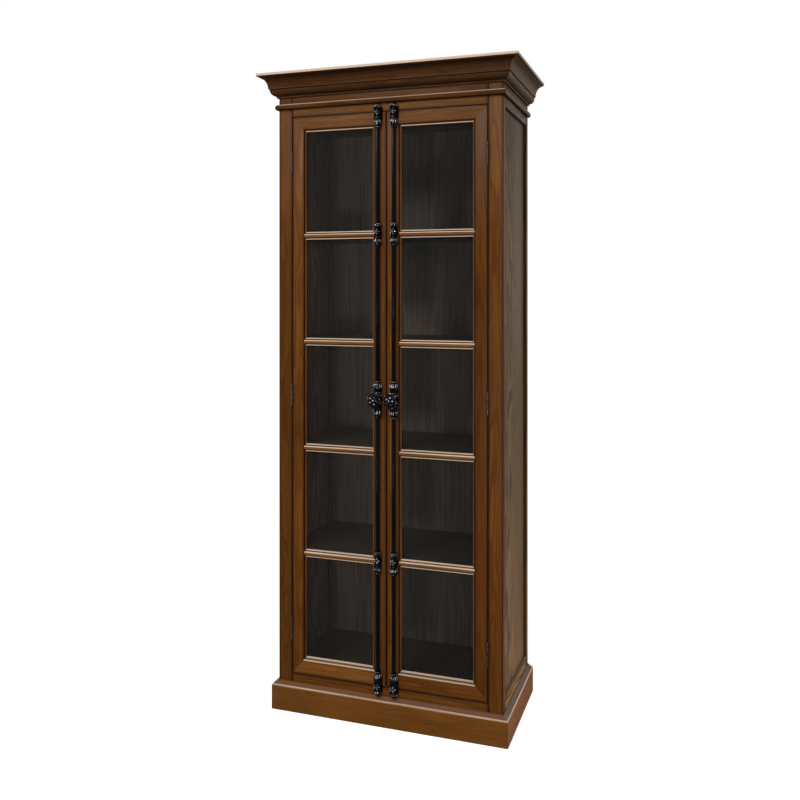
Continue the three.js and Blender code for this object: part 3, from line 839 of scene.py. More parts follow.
# Darker than the frame: painted shade on the cornice, whose cove and ovolo look down.
CORNICE_SHADED_OAK = StainedOak(
    dark=(0.018, 0.006, 0.001), middle=(0.042, 0.0145, 0.0028), light=(0.085, 0.035, 0.009),
    red=(0.045, 0.0125, 0.0025), worn=(0.16, 0.08, 0.035), gathered=(0.003, 0.0012, 0.0006),
    roughness=0.42, specular=0.05, under=0.55,
)
# The plinth's slope carries a pale painted sheen of the light from above.
PLINTH_OAK = StainedOak(
    dark=(0.05, 0.0165, 0.0022), middle=(0.11, 0.039, 0.0055), light=(0.19, 0.078, 0.016),
    red=(0.13, 0.036, 0.008), worn=(0.62, 0.46, 0.34), gathered=(0.012, 0.005, 0.002),
    roughness=0.42, specular=0.06, contrast=0.15, ledge=(0.12, 0.06, 0.034), settled=0.75,
)
# The plinth's returns have a greyer sheen: a painted reflection of the side light.
PLINTH_LIT_SIDE_OAK = replace(PLINTH_OAK, ledge=(0.095, 0.086, 0.077))
# The cornice's returns are paler than its front: a copy painted as lit from the side.
CORNICE_LIT_SIDE_OAK = replace(
    CORNICE_SHADED_OAK, dark=(0.04, 0.018, 0.002), middle=(0.1, 0.045, 0.006), light=(0.17, 0.085, 0.02),
    specular=0.04,
)
# The lattice's faces that look up carry a strong pale painted sheen.
SASH_OAK = StainedOak(
    dark=(0.036, 0.0095, 0.0012), middle=(0.1, 0.033, 0.005), light=(0.2, 0.08, 0.016),
    red=(0.11, 0.026, 0.0045), worn=(0.6, 0.46, 0.34), gathered=(0.004, 0.0016, 0.0008),
    roughness=0.4, specular=0.08, ledge=(0.58, 0.45, 0.34), settled=0.85, bloom=(0.35, 0.95),
)
# The bars' upper faces get that painted sheen and their lower faces painted shade.
BAR_OAK = replace(SASH_OAK, bloom=(0.12, 0.5), under=0.7)
# Darker than the sash with a pale crest: painted shade on the bead's under side and a painted highlight on top.
BEAD_SHADED_OAK = replace(
    SASH_OAK, dark=(0.014, 0.0045, 0.001), middle=(0.04, 0.0135, 0.0028), light=(0.09, 0.035, 0.008),
    ledge=(0.33, 0.24, 0.16), bloom=(0.36, 0.68), under=0.95, specular=0.02,
)
# The bead's returns are paler: a copy painted as lit from the side.
BEAD_LIT_SIDE_OAK = replace(
    BEAD_SHADED_OAK, dark=(0.05, 0.023, 0.006), middle=(0.13, 0.06, 0.016), light=(0.2, 0.1, 0.03),
)
PANEL_OAK = StainedOak(
    dark=(0.032, 0.0165, 0.0065), middle=(0.098, 0.056, 0.0225), light=(0.19, 0.118, 0.058),
    red=(0.105, 0.049, 0.017), worn=(0.28, 0.19, 0.11), gathered=(0.01, 0.005, 0.003),
    roughness=0.46, specular=0.05, band=0.0062, contrast=1.05, faded=(0.03, 0.0175, 0.007),
    uneven=0.8,
)
INSIDE_OAK = StainedOak(
    dark=(0.12, 0.093, 0.072), middle=(0.2, 0.154, 0.124), light=(0.3, 0.243, 0.2),
    red=(0.19, 0.136, 0.104), worn=(0.17, 0.13, 0.1), gathered=(0.03, 0.022, 0.016),
    roughness=0.6, specular=0.1, band=0.014, contrast=0.6, settled=0.0, uneven=2.4,
)
LINING_OAK = replace(
    INSIDE_OAK, dark=(0.21, 0.163, 0.127), middle=(0.355, 0.275, 0.223), light=(0.48, 0.39, 0.32),
)
SHELF_OAK = replace(
    INSIDE_OAK, dark=(0.022, 0.018, 0.014), middle=(0.046, 0.039, 0.032), light=(0.08, 0.068, 0.056),
    red=(0.046, 0.036, 0.029), contrast=0.4,
)
# The top board takes the cornice's painted shade, lightened by its tone.
TOP_OAK = replace(CORNICE_SHADED_OAK, worn=(0.41, 0.31, 0.235), settled=0.0, under=0.4)
OAKS = {"frame_wood": FRAME_OAK, "panel_wood": PANEL_OAK, "inside_wood": INSIDE_OAK}
SHARED = {"cast_iron": Casting(), "hinge_metal": Bronze(), "glass": ClearGlass()}


# Shapes


class Ends(Enum):
    """How a skin's first and last rings are closed."""

    CAPPED = "flat faces"
    LOOPED = "the last ring joins the first"


@dataclass(frozen=True)
class Skin:
    """A closed surface over rings of points.

    Attributes:
        rings: Points by ring, place in the ring and coordinate. A ring that shrinks to one
            point makes a pole.
        ends: How the rings' ends are closed.
        wear: For each point, or for each place in a ring, 1 where the finish is abraded and a highlight is
            painted, -1 where glaze lies in a recess and shade is painted, and 0 elsewhere.
    """

    rings: np.ndarray
    ends: Ends = Ends.CAPPED
    wear: np.ndarray | None = None

    def faces(self, start: int) -> list[list[int]]:
        """Joins every two neighbouring rings by quads, and closes the ends.

        Args:
            start: The number of the skin's first point in its mesh.

        Returns:
            The point numbers of each face.
        """
        count, places = self.rings.shape[:2]
        steps = count if self.ends is Ends.LOOPED else count - 1
        ring = np.arange(steps)[:, None] * places
        above = (ring + places) % (count * places)
        here = np.arange(places)[None, :]
        after = (here + 1) % places
        quads = np.stack([ring + here, ring + after, above + after, above + here], -1)
        faces = (quads.reshape(-1, 4) + start).tolist()
        if self.ends is Ends.CAPPED:
            faces.append((np.arange(places)[::-1] + start).tolist())
            faces.append((np.arange(places) + start + (count - 1) * places).tolist())
        return faces


def placed(name: str, data: bpy.types.ID) -> bpy.types.Object:
    """Puts a mesh, camera or lamp into the scene, at the origin."""
    thing = bpy.data.objects.new(name, data)
    bpy.context.scene.collection.objects.link(thing)
    return thing


def solid_piece(name: str, skins: Sequence[Skin], crease: float = 32.0) -> bpy.types.Object:
    """One piece from closed skins.

    Args:
        name: The piece's name.
        skins: Its surfaces.
        crease: The angle in degrees from which an edge stays sharp.

    Returns:
        The object, at the origin, with smooth faces that point outwards.
    """
    points, faces, wear, start = [], [], [], 0
    for skin in skins:
        points.append(skin.rings.reshape(-1, 3))
        faces += skin.faces(start)
        start += len(points[-1])
        known = 0.0 if skin.wear is None else skin.wear
        wear.append(np.broadcast_to(known, skin.rings.shape[:2]).ravel())
    mesh = bpy.data.meshes.new(name)
    mesh.from_pydata(np.concatenate(points), [], faces)
    wear_and_light_values = mesh.attributes.new("wear", "FLOAT", "POINT")
    wear_and_light_values.data.foreach_set("value", np.concatenate(wear).astype(np.float32))
    shape = bmesh.new()
    shape.from_mesh(mesh)
    bmesh.ops.remove_doubles(shape, verts=shape.verts, dist=1e-6)
    bmesh.ops.dissolve_degenerate(shape, edges=shape.edges, dist=1e-7)
    bmesh.ops.recalc_face_normals(shape, faces=shape.faces)
    shape.to_mesh(mesh)
    shape.free()
    mesh.polygons.foreach_set("use_smooth", np.ones(len(mesh.polygons), bool))
    mesh.set_sharp_from_angle(angle=math.radians(crease))
    return placed(name, mesh)


@dataclass(frozen=True)
class Cut:
    """A plane that trims a board.

    Attributes:
        point: A point of the plane.
        away: Its normal. What lies on that side is cleared.
    """

    point: Place
    away: Place

    @classmethod
    def beyond(cls, axis: Axis, place: float, sign: int) -> "Cut":
        """A cut square to an axis.

        Args:
            axis: The axis.
            place: Where it cuts.
            sign: The side that it clears.

        Returns:
            The cut.
        """
        point, away = [0.0] * 3, [0.0] * 3
        point[axis.value], away[axis.value] = place, float(sign)
        return cls(tuple(point), tuple(away))

    @classmethod
    def mitre(cls, outer: Span, inner: Span, kept: Span, joint: float) -> "Cut":
        """A mitre through a frame's outer and inner corner, seen from the front.

        Its normal is the line between the corners, turned by a right angle.

        Args:
            outer: The outer corner's X and Z.
            inner: The inner corner's X and Z.
            kept: The X and Z of a point of the member that is kept.
            joint: Half of the joint's gap.

        Returns:
            The cut.
        """
        along = np.subtract(inner, outer)
        across = np.array([along[1], -along[0]]) / np.hypot(*along)
        across *= -np.sign(across @ np.subtract(kept, outer))
        spot = np.array(outer) - across * joint
        return cls((float(spot[0]), 0.0, float(spot[1])),
                   (float(across[0]), 0.0, float(across[1])))


def board(
    name: str, node: str, cuts: Sequence[Cut] = (), ease: float = 0.0008,
) -> bpy.types.Object:
    """A board with eased edges, from a merged copy of a node or of a part of it.

    Args:
        name: The board's name.
        node: The node that it stands for, whole or in part.
        cuts: The planes that trim it. The cuts are filled.
        ease: The width of the eased edges.

    Returns:
        The board.
    """
    shape = bmesh.new()
    shape.from_mesh(frame["nodes"][node].data)
    bmesh.ops.remove_doubles(shape, verts=shape.verts, dist=2e-6)
    for cut in cuts:
        everything = [*shape.verts, *shape.edges, *shape.faces]
        made = bmesh.ops.bisect_plane(
            shape, geom=everything, dist=1e-6, plane_co=cut.point, plane_no=cut.away,
            clear_outer=True,
        )
        rim = [item for item in made["geom_cut"] if isinstance(item, bmesh.types.BMEdge)]
        if rim:
            bmesh.ops.holes_fill(shape, edges=rim, sides=0)
    bmesh.ops.dissolve_limit(
        shape, angle_limit=math.radians(1), verts=shape.verts, edges=shape.edges,
    )
    bmesh.ops.recalc_face_normals(shape, faces=shape.faces)
    mesh = bpy.data.meshes.new(name)
    shape.to_mesh(mesh)
    shape.free()
    mesh.polygons.foreach_set("use_smooth", np.ones(len(mesh.polygons), bool))
    piece = placed(name, mesh)
    rounding = piece.modifiers.new("eased edges", "BEVEL")
    rounding.width = ease
    rounding.segments = 2
    rounding.limit_method = "ANGLE"
    rounding.angle_limit = math.radians(40)
    rounding.harden_normals = True
    return piece


def arc(centre: Span, radii: Span, start: float, end: float, steps: int = 14) -> np.ndarray:
    """Points of an ellipse about a centre, from one angle to another, in degrees."""
    turn = np.radians(np.linspace(start, end, steps + 1))
    return np.stack([centre[0] + radii[0] * np.cos(turn), centre[1] + radii[1] * np.sin(turn)], -1)


def eased(outline: np.ndarray, radius: float, steps: int = 3) -> np.ndarray:
    """A closed outline with its corners rounded.

    Each corner that turns by more than 25 degrees gives way to a short curve that leaves
    the sides at the radius from the corner, or sooner on a short side: the weighted sum of
    the two leaving points and the corner. A point a little further along each side keeps
    the shading of the flat beyond it even.

    Args:
        outline: The corners, in order.
        radius: How far from the corner the curve starts.
        steps: The curve's steps.

    Returns:
        The new outline.
    """
    before = np.roll(outline, 1, 0) - outline
    after = np.roll(outline, -1, 0) - outline
    reach = [np.linalg.norm(side, axis=1, keepdims=True) for side in (before, after)]
    before, after = before / reach[0], after / reach[1]
    turns = (before * after).sum(1, keepdims=True) > -math.cos(math.radians(25))
    distance = np.where(turns, np.minimum(radius, 0.45 * np.minimum(*reach)), 0.0)
    share = np.linspace(0, 1, steps + 1)[None, :, None]
    first = (outline + before * distance)[:, None]
    last = (outline + after * distance)[:, None]
    curve = (1 - share) ** 2 * first + 2 * share * (1 - share) * outline[:, None]
    guards = [(outline + side * distance * 1.1)[:, None] for side in (before, after)]
    curve = np.concatenate([guards[0], curve + share ** 2 * last, guards[1]], 1).reshape(-1, 2)
    moved = np.linalg.norm(curve - np.roll(curve, 1, 0), axis=1) > 1e-7
    return curve[moved]


def divided(outline: np.ndarray, step: float = 0.003) -> np.ndarray:
    """A closed outline with points added along its sides.

    Args:
        outline: The corners, in order.
        step: The most that two points may lie apart.

    Returns:
        The new outline.
    """
    sides = np.roll(outline, -1, 0) - outline
    counts = np.ceil(np.linalg.norm(sides, axis=1) / step).astype(int)
    index = np.repeat(np.arange(len(outline)), counts)
    share = (np.arange(len(index)) - np.repeat(np.cumsum(counts) - counts, counts)) / counts[index]
    return outline[index] + sides[index] * share[:, None]


def turning_wear(outline: np.ndarray, radius: float = 0.0022) -> np.ndarray:
    """Abrasion and painted light round a closed outline: positive on ridges, which get a painted highlight, and
    negative in grooves, which get painted shade.

    Each point's turn, the signed angle between its two sides, is spread over the points
    near it by a bell curve of the distance between them, and the sum is squashed.

    Args:
        outline: The outline's points.
        radius: The bell curve's radius.

    Returns:
        A value from -1 to 1 for each point.
    """
    before = outline - np.roll(outline, 1, 0)
    after = np.roll(outline, -1, 0) - outline
    cross = before[:, 0] * after[:, 1] - before[:, 1] * after[:, 0]
    turn = np.arctan2(cross, (before * after).sum(1))
    distance = np.linalg.norm(outline[:, None] - outline[None, :], axis=2)
    spread = np.exp(-((distance / radius) ** 2))
    return np.tanh(spread @ turn * np.sign(turn.sum()) * 0.9)


def crest_wear(depth: np.ndarray, outline: np.ndarray, rise: float = 0.0008) -> np.ndarray:
    """Abrasion and a painted highlight on what stands out most: 1 at the least depth, 0 a rise behind it.

    Grooves keep the negative value, glaze and painted shade, that the outline's turning gives them.
    """
    crest = np.clip(1 - (depth - depth.min()) / rise, 0, 1)
    return np.where(crest > 0, crest, np.minimum(turning_wear(outline, 0.0012), 0))


def turned(profile: np.ndarray, centre: Span, axis: Axis, places: int = 40) -> Skin:
    """A turned shape: a profile that is carried round an axis.

    Args:
        profile: Points of radius and place along the axis.
        centre: The axis's place in the two other coordinates.
        axis: The axis, Y or Z.
        places: How many points go round.

    Returns:
        The skin.
    """
    turn = np.linspace(0, 2 * np.pi, places, endpoint=False)
    u = centre[0] + profile[:, :1] * np.cos(turn)
    v = centre[1] + profile[:, :1] * np.sin(turn)
    along = np.broadcast_to(profile[:, 1:], u.shape)
    order = {Axis.Y: (u, along, v), Axis.Z: (u, v, along)}[axis]
    return Skin(np.stack(order, -1))


def prism(outline: np.ndarray, axis: Axis, span: Span) -> Skin:
    """A straight prism: an outline that is carried along an axis.

    Args:
        outline: Points in the two other coordinates.
        axis: The axis.
        span: Where the prism starts and ends on it.

    Returns:
        The skin.
    """
    rings = []
    for place in span:
        columns = [outline[:, 0], outline[:, 1]]
        columns.insert(axis.value, np.full(len(outline), place))
        rings.append(np.stack(columns, -1))
    return Skin(np.stack(rings), wear=turning_wear(outline))


# The work on every piece


@dataclass
class Workshop:
    """Dresses finished pieces and sets them on the frame.

    Attributes:
        made: How many wooden pieces have been dressed, which seeds their figure.
        shared: The materials of metal and glass so far, by slot.
    """

    made: int = 0
    shared: dict[str, bpy.types.Material] = field(default_factory=dict)

    def _install(
        self, piece: bpy.types.Object, nodes: Sequence[str], material: bpy.types.Material,
    ) -> None:
        """Gives a piece its material, slot and body, and hides the nodes it stands for.

        Args:
            piece: The piece.
            nodes: The nodes.
            material: Its finish.
        """
        piece.data.materials.clear()
        piece.data.materials.append(material)
        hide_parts(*nodes)
        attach(piece, BODY_OF[nodes[0]])
        log.info("%s stands for %s", piece.name, ", ".join(nodes))

    def wood(
        self, piece: bpy.types.Object, node: str, grain: Axis, oak: StainedOak | None = None,
        ageing: Ageing = BOARD, seams: Sequence[float] = (),
    ) -> None:
        """Dresses a wooden piece in a figure of its own.

        Args:
            piece: The piece.
            node: The node it stands for.
            grain: The axis of its fibres.
            oak: The finish, if it isn't the one of the node's slot.
            ageing: Its abrasion, tone, and painted light and shade.
            seams: Places across it where veneer leaves meet.
        """
        self.made += 1
        points = np.empty(len(piece.data.vertices) * 3, np.float32)
        piece.data.vertices.foreach_get("co", points)
        points = points.reshape(-1, 3).astype(float)
        member = Member(grain, points.min(0), points.max(0), self.made, ageing, seams)
        finish = oak or OAKS[SLOT_OF[node]]
        self._install(piece, [node], finish.material(f"oak_{piece.name}", member))

    def metal(self, piece: bpy.types.Object, node: str) -> None:
        """Dresses a metal piece in the finish of its node's slot."""
        self._install(piece, [node], self.finish(SLOT_OF[node]))

    def finish(self, slot: str) -> bpy.types.Material:
        """The one material that all pieces of a slot share, made when it is first needed."""
        if slot not in self.shared:
            self.shared[slot] = SHARED[slot].material(slot)
        return self.shared[slot]

    def carried_over(self, node: str) -> None:
        """Dresses a node whose own shape stays."""
        data = frame["nodes"][node].data
        data.materials.clear()
        data.materials.append(self.finish(SLOT_OF[node]))
        log.info("%s keeps its own shape", node)


# Mouldings round the case


class Run(Enum):
    """The three mitred lengths of a moulding round the case."""

    FRONT = "front"
    LEFT = "left"
    RIGHT = "right"


@dataclass(frozen=True)
class CaseOutline:
    """The body that the mouldings go round.

    Attributes:
        half: Half of the body's width.
        front: The Y of its front.
        back: The Y of its back.
        joint: Half of the gap in a mitre.
        unworn: How far from a moulding's foot and from its top neither abrasion nor painted light is marked.
        ridge: The radius over which the marks of a ridge spread.
    """

    half: float
    front: float
    back: float
    joint: float = 0.00012
    unworn: Span = (0.006, 0.004)
    ridge: float = 0.0042

    @classmethod
    def measured(cls) -> "CaseOutline":
        """The outline from the posts and the side frames."""
        low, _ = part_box("face_stile_left")
        _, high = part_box("side_frame_right")
        return cls(high.x, low.y, high.y)

    def length(self, profile: np.ndarray, run: Run) -> Skin:
        """One mitred length of a moulding.

        Every point of the profile travels parallel to the wall until it meets the mitre,
        which lies at 45 degrees through the case's corner.

        Args:
            profile: Points of reach from the case and height.
            run: Which of the three lengths.

        Returns:
            Its skin.
        """
        reach, height = profile[:, 0], profile[:, 1]
        x, y = self.half + reach, self.front - reach
        if run is Run.FRONT:
            ends = [np.stack([sign * (x - self.joint), y, height], -1) for sign in (-1, 1)]
        else:
            sign = 1.0 if run is Run.RIGHT else -1.0
            back = np.full_like(y, self.back)
            ends = [np.stack([sign * x, place, height], -1) for place in (y + self.joint, back)]
        # Ridges are marked for abrasion and a painted highlight, grooves for glaze and painted shade.
        foot, top = self.unworn
        rubbed = (height > height.min() + foot) & (height < height.max() - top)
        return Skin(np.stack(ends), wear=turning_wear(profile, self.ridge) * rubbed)


@dataclass(frozen=True)
class Mouldings:
    """The plinth, the small bead and the cornice, each in three mitred lengths.

    Attributes:
        outline: The body they go round.
        glue: The gap between them and the body.
        ease: The rounding of their corners.
        plinth_face_top: The height at which the plinth's flat face ends.
        plinth_nose: The width and height of the rounded nose above it.
        plinth_fillet: The reach and height of the fillet against the case.
        cornice_quirk: The height of the quirk under the top board.
        cove_reach: How far the cove's foot and its top stand out.
        cove_height: Its height.
        cove_step: How far its foot stands out past the ovolo.
        ovolo_drop: The ovolo's height.
        ovolo_foot: How far the ovolo's foot stands out.
        cornice_fillet: The height of the fillet over the ovolo.
        bead_lip: The reach of the small bead's curved under side.
        bead_tip: The height of its tip over its foot.
    """

    outline: CaseOutline
    glue: float = 0.0003
    ease: float = 0.0009
    plinth_face_top: float = 0.0798
    plinth_nose: Span = (0.005, 0.0088)
    plinth_fillet: float = 0.0025
    cornice_quirk: float = 0.002
    cove_reach: Span = (0.029, 0.054)
    cove_height: float = 0.038
    cove_step: float = 0.004
    ovolo_drop: float = 0.021
    ovolo_foot: float = 0.008
    cornice_fillet: float = 0.0015
    bead_lip: float = 0.005
    bead_tip: float = 0.009

    def _reach(self, node: str) -> tuple[float, float, float]:
        """How far a node's moulding stands out, and its foot and top."""
        low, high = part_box(node)
        return high.x - self.outline.half, low.z, high.z

    def plinth(self) -> np.ndarray:
        """The plinth's profile: a flat face, a rounded nose, a slope and a small fillet."""
        reach, foot, top = self._reach("plinth")
        wide, tall = self.plinth_nose
        nose = arc((reach - wide, self.plinth_face_top), (wide, tall), 0, 90)
        fillet = self.plinth_fillet
        slope = [(reach - wide - fillet / 2, self.plinth_face_top + tall), (fillet, top - fillet)]
        return np.array([
            (self.glue, foot), (reach, foot), *nose, *slope, (fillet, top), (self.glue, top),
        ])

    def cornice(self) -> np.ndarray:
        """The cornice's profile: a fillet, an ovolo, a step, a cove and a quirk."""
        _, foot, top = self._reach("cornice")
        inner, outer = self.cove_reach
        cove_top = top - self.cornice_quirk
        cove_foot = cove_top - self.cove_height
        ovolo_reach = inner - self.cove_step
        ovolo_top = cove_foot - self.cornice_fillet
        ovolo_foot = ovolo_top - self.ovolo_drop
        ovolo = arc((self.ovolo_foot, ovolo_top),
                    (ovolo_reach - self.ovolo_foot, self.ovolo_drop), -90, 0)
        cove = arc((outer, cove_foot), (outer - inner, self.cove_height), 180, 90, 20)
        lip = self.ovolo_foot - self.cornice_fillet
        return np.array([
            (self.glue, foot), (lip, foot), (lip, ovolo_foot), *ovolo, (ovolo_reach, cove_foot),
            *cove, (outer, top), (self.glue, top),
        ])

    def bead(self) -> np.ndarray:
        """The bead's profile: it swells to a round tip and curves back to the case."""
        reach, foot, top = self._reach("bead_moulding")
        tip = foot + self.bead_tip
        under = arc((reach - self.bead_lip, tip), (self.bead_lip, self.bead_tip), -90, 0)
        over = arc((self.bead_lip / 2, tip), (reach - self.bead_lip / 2, top - tip), 0, 90)
        return np.array([(self.glue, foot), *under, *over[1:], (self.glue, top)])

    def build(self, shop: Workshop) -> None:
        """Makes the nine lengths."""
        shapes = {
            "plinth": (self.plinth(), PLINTH_OAK, PLINTH_LIT_SIDE_OAK, Ageing(rubbed=0.85)),
            "bead_moulding": (self.bead(), BEAD_SHADED_OAK, BEAD_LIT_SIDE_OAK, Ageing()),
            "cornice": (self.cornice(), CORNICE_SHADED_OAK, CORNICE_LIT_SIDE_OAK, Ageing(rubbed=0.3)),
        }
        for node, (profile, oak, lit_side_oak, ageing) in shapes.items():
            soft = divided(eased(profile, self.ease))
            for run in Run:
                piece = solid_piece(f"{node}_{run.value}", [self.outline.length(soft, run)])
                front = run is Run.FRONT
                # The returns take the copies of the finish painted as lit from the side.
                grain, finish = (Axis.X, oak) if front else (Axis.Y, lit_side_oak)
                shop.wood(piece, node, grain, finish, ageing)


# The case


@dataclass(frozen=True)
class Case:
    """The boards of the case.

    Attributes:
        back_stile: The width of the stile at the back of each side.
        side_rail_split: A height between the two rails of a side.
        joint: Half of the gap where two members meet.
        back_seams: Where the back's veneer leaves meet.
        shelves: How many shelves there are.
        dusk: The height from which the front lies in the cornice's shade.
        side_dusk: The height from which a side lies in it.
    """

    back_stile: float = 0.032
    side_rail_split: float = 1.0
    joint: float = 0.0001
    back_seams: tuple[float, ...] = (-0.262, -0.017, 0.085, 0.281)
    shelves: int = 4
    dusk: float = 2.097
    side_dusk: float = 2.02

    def _side(self, shop: Workshop, side: Side) -> None:
        """The post, the three members of the side frame and the sunk panel."""
        word = side.word
        tone = -0.1 if side is Side.LEFT else 0.0
        # The post carries the cornice's painted shadow at its top and a pale painted sheen towards the top.
        ageing = Ageing(outlined=0.95, tone=tone, dusk=self.dusk, fade=0.06)
        post = board(f"post_{word}", f"face_stile_{word}")
        shop.wood(post, f"face_stile_{word}", Axis.Z, ageing=ageing)
        node = f"side_frame_{word}"
        _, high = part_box(node)
        edge = high.y - self.back_stile
        split = self.side_rail_split
        before = Cut.beyond(Axis.Y, edge - self.joint, 1)
        # The top rail's darker tone and the darkening above the side's shadow height are painted shade under the
        # mouldings.
        members = {
            "back_stile": (Axis.Z, -0.25, [Cut.beyond(Axis.Y, edge + self.joint, -1)]),
            "top_rail": (Axis.Y, -0.4, [before, Cut.beyond(Axis.Z, split, -1)]),
            "bottom_rail": (Axis.Y, 0.0, [before, Cut.beyond(Axis.Z, split, 1)]),
        }
        for name, (grain, tone, cuts) in members.items():
            ageing = replace(
                BOARD, lit_top=True, tone=tone, dusk=self.side_dusk, lining=LINING_OAK,
            )
            shop.wood(board(f"side_{name}_{word}", node, cuts), node, grain, ageing=ageing)
        panel = board(f"sunk_panel_{word}", f"side_panel_{word}")
        # The panel is darkened towards the top: painted shade.
        ageing = replace(BOARD, fade=0.5, lining=LINING_OAK)
        shop.wood(panel, f"side_panel_{word}", Axis.Z, ageing=ageing)

    def build(self, shop: Workshop) -> None:
        """Makes every board."""
        for side in Side:
            self._side(shop, side)
        for node in ("face_rail_bottom", "face_rail_top"):
            # Above the shadow height the rails get the cornice's painted shadow, and towards the top a pale
            # painted sheen.
            ageing = Ageing(outlined=0.95, dusk=self.dusk, fade=0.08)
            shop.wood(board(f"{node}_board", node), node, Axis.X, ageing=ageing)
        back = board("back_sheet", "back_panel", ease=0.0004)
        shop.wood(back, "back_panel", Axis.Z, seams=self.back_seams)
        shop.wood(board("back_rail_board", "back_rail"), "back_rail", Axis.X)
        names = ["floor_board", "ceiling_board", *(f"shelf_{i + 1}" for i in range(self.shelves))]
        for node in names:
            shop.wood(board(f"{node}_veneered", node), node, Axis.X, SHELF_OAK)
        self._top(shop)

    def _top(self, shop: Workshop) -> None:
        """The top board, whose upper edge is painted pale as a highlight."""
        top = board("top_sheet", "top_board", ease=0.001)
        # Its front takes the cornice's painted shade, lightened by its tone, with the painted highlight on its top
        # edge.
        shop.wood(top, "top_board", Axis.X, TOP_OAK, Ageing(arris=2.4, tone=0.35))


# Doors


@dataclass(frozen=True)
class Sash:
    """The wooden lattice in front of a door's glass.

    Attributes:
        door: The side it is on.
        rows: How many panes stand above each other.
        strip: The width of the strip round the edge.
        quirk: The width and depth of the groove beside a strip's bead.
        bar_quirk: The width and depth of the groove beside a bar's bead.
        bar_back: The height of the wide moulding behind a bar.
        bar_front: The height of the bar's face.
        proud: How far the bar's face stands in front of the strip.
        lap: How far the moulding behind a bar runs into the strip.
        crown: How deep the rounding of a bar's face is.
        crown_ease: The rounding of its corners.
        clear: How far a bar stays in front of the lattice's back.
    """

    door: Side
    rows: int = 5
    strip: float = 0.0075
    quirk: Span = (0.0018, 0.0018)
    bar_quirk: Span = (0.0031, 0.0032)
    bar_back: float = 0.027
    bar_front: float = 0.0114
    proud: float = 0.0062
    lap: float = 0.004
    crown: float = 0.0022
    crown_ease: float = 0.0006
    clear: float = 0.0002

    @property
    def node(self) -> str:
        """The lattice's node."""
        return f"door_grille_{self.door.word}"

    def _extent(self) -> tuple[np.ndarray, np.ndarray, float]:
        """The lattice's lowest and highest corner, and the Y of the strips' front."""
        low, high = (np.array(corner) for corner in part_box(self.node))
        return low, high, low[1] + self.proud

    def _section(self, near: float, back: float) -> np.ndarray:
        """A strip's section: a groove at its outer edge, then a round bead to its inner one.

        Args:
            near: The Y of its front.
            back: The Y of its back.

        Returns:
            Points of the distance from the outer edge and of Y.
        """
        wide, deep = self.quirk
        radius = (self.strip - wide) / 2
        bead = arc((wide + radius, near + radius), (radius, radius), 180, 360, 12)
        return np.array([
            (0.0, back), (0.0, near + deep), (wide, near + deep), *bead, (self.strip, back),
        ])

    def _strips(self, shop: Workshop) -> None:
        """Four mitred strips round the edge of the opening.

        Args:
            shop: The workshop.
        """
        low, high, near = self._extent()
        section = self._section(near, high[1])
        inset, depth = section[:, 0], section[:, 1]
        for name, axis, sign in (
            ("inner", Axis.Z, 1), ("outer", Axis.Z, -1), ("top", Axis.X, -1), ("bottom", Axis.X, 1),
        ):
            cross = 0 if axis is Axis.Z else 2
            edge = low[cross] if sign > 0 else high[cross]
            ends = []
            for place in (low[axis.value] + inset, high[axis.value] - inset):
                columns = [depth] * 3
                columns[cross] = edge + sign * inset
                columns[axis.value] = place
                ends.append(np.stack(columns, -1))
            strip = Skin(np.stack(ends), wear=crest_wear(depth, section))
            piece = solid_piece(f"sash_strip_{name}_{self.door.word}", [strip])
            # Level strips carry a strong painted highlight on the crest and upright ones little, with a darker
            # tone: the light falls from above.
            level = axis is Axis.X
            ageing = Ageing(rubbed=0.75 if level else 0.05, tone=0.0 if level else -0.2)
            shop.wood(piece, self.node, axis, SASH_OAK, ageing)

    def _bar(self, shop: Workshop, row: int) -> None:
        """A bar: two beads with a groove each, and the rounded face between them.

        Args:
            shop: The workshop.
            row: The bar's number from below.
        """
        low, high, near = self._extent()
        height = low[2] + (high[2] - low[2]) * row / self.rows
        half, face = self.bar_back / 2, self.bar_front / 2
        wide, deep = self.bar_quirk
        radius = (half - face - wide) / 2
        bead = arc((face + wide + radius, near + radius), (radius, radius), 180, 360, 12)
        side = np.array([
            (near + deep, face), (near + deep, face + wide), *bead[:, ::-1], (high[1], half),
        ])
        outline = np.concatenate([side * (1, -1), side[::-1]]) + (0, height)
        span = (low[0] + self.strip - self.lap, high[0] - self.strip + self.lap)
        # The beads' crests are marked for a painted highlight and the grooves for painted shade.
        wear = crest_wear(outline[:, 0], outline)
        skin = Skin(prism(outline, Axis.X, span).rings, wear=wear)
        beads = solid_piece(f"bar_beads_{row}_{self.door.word}", [skin])
        shop.wood(beads, self.node, Axis.X, SASH_OAK, Ageing(rubbed=0.75))
        front, back = near - self.proud, high[1] - self.clear
        crown = arc((front + self.crown, height), (self.crown, face), -90, -270, 16)
        outline = divided(eased(
            np.array([(back, height - face), *crown, (back, height + face)]), self.crown_ease))
        skin = prism(outline, Axis.X, (low[0], high[0]))
        bar = solid_piece(f"glazing_bar_{row}_{self.door.word}", [skin])
        shop.wood(bar, self.node, Axis.X, BAR_OAK, Ageing(rubbed=0.1, tone=0.1))

    def build(self, shop: Workshop) -> None:
        """Makes the strips and the bars."""
        self._strips(shop)
        for row in range(1, self.rows):
            self._bar(shop, row)


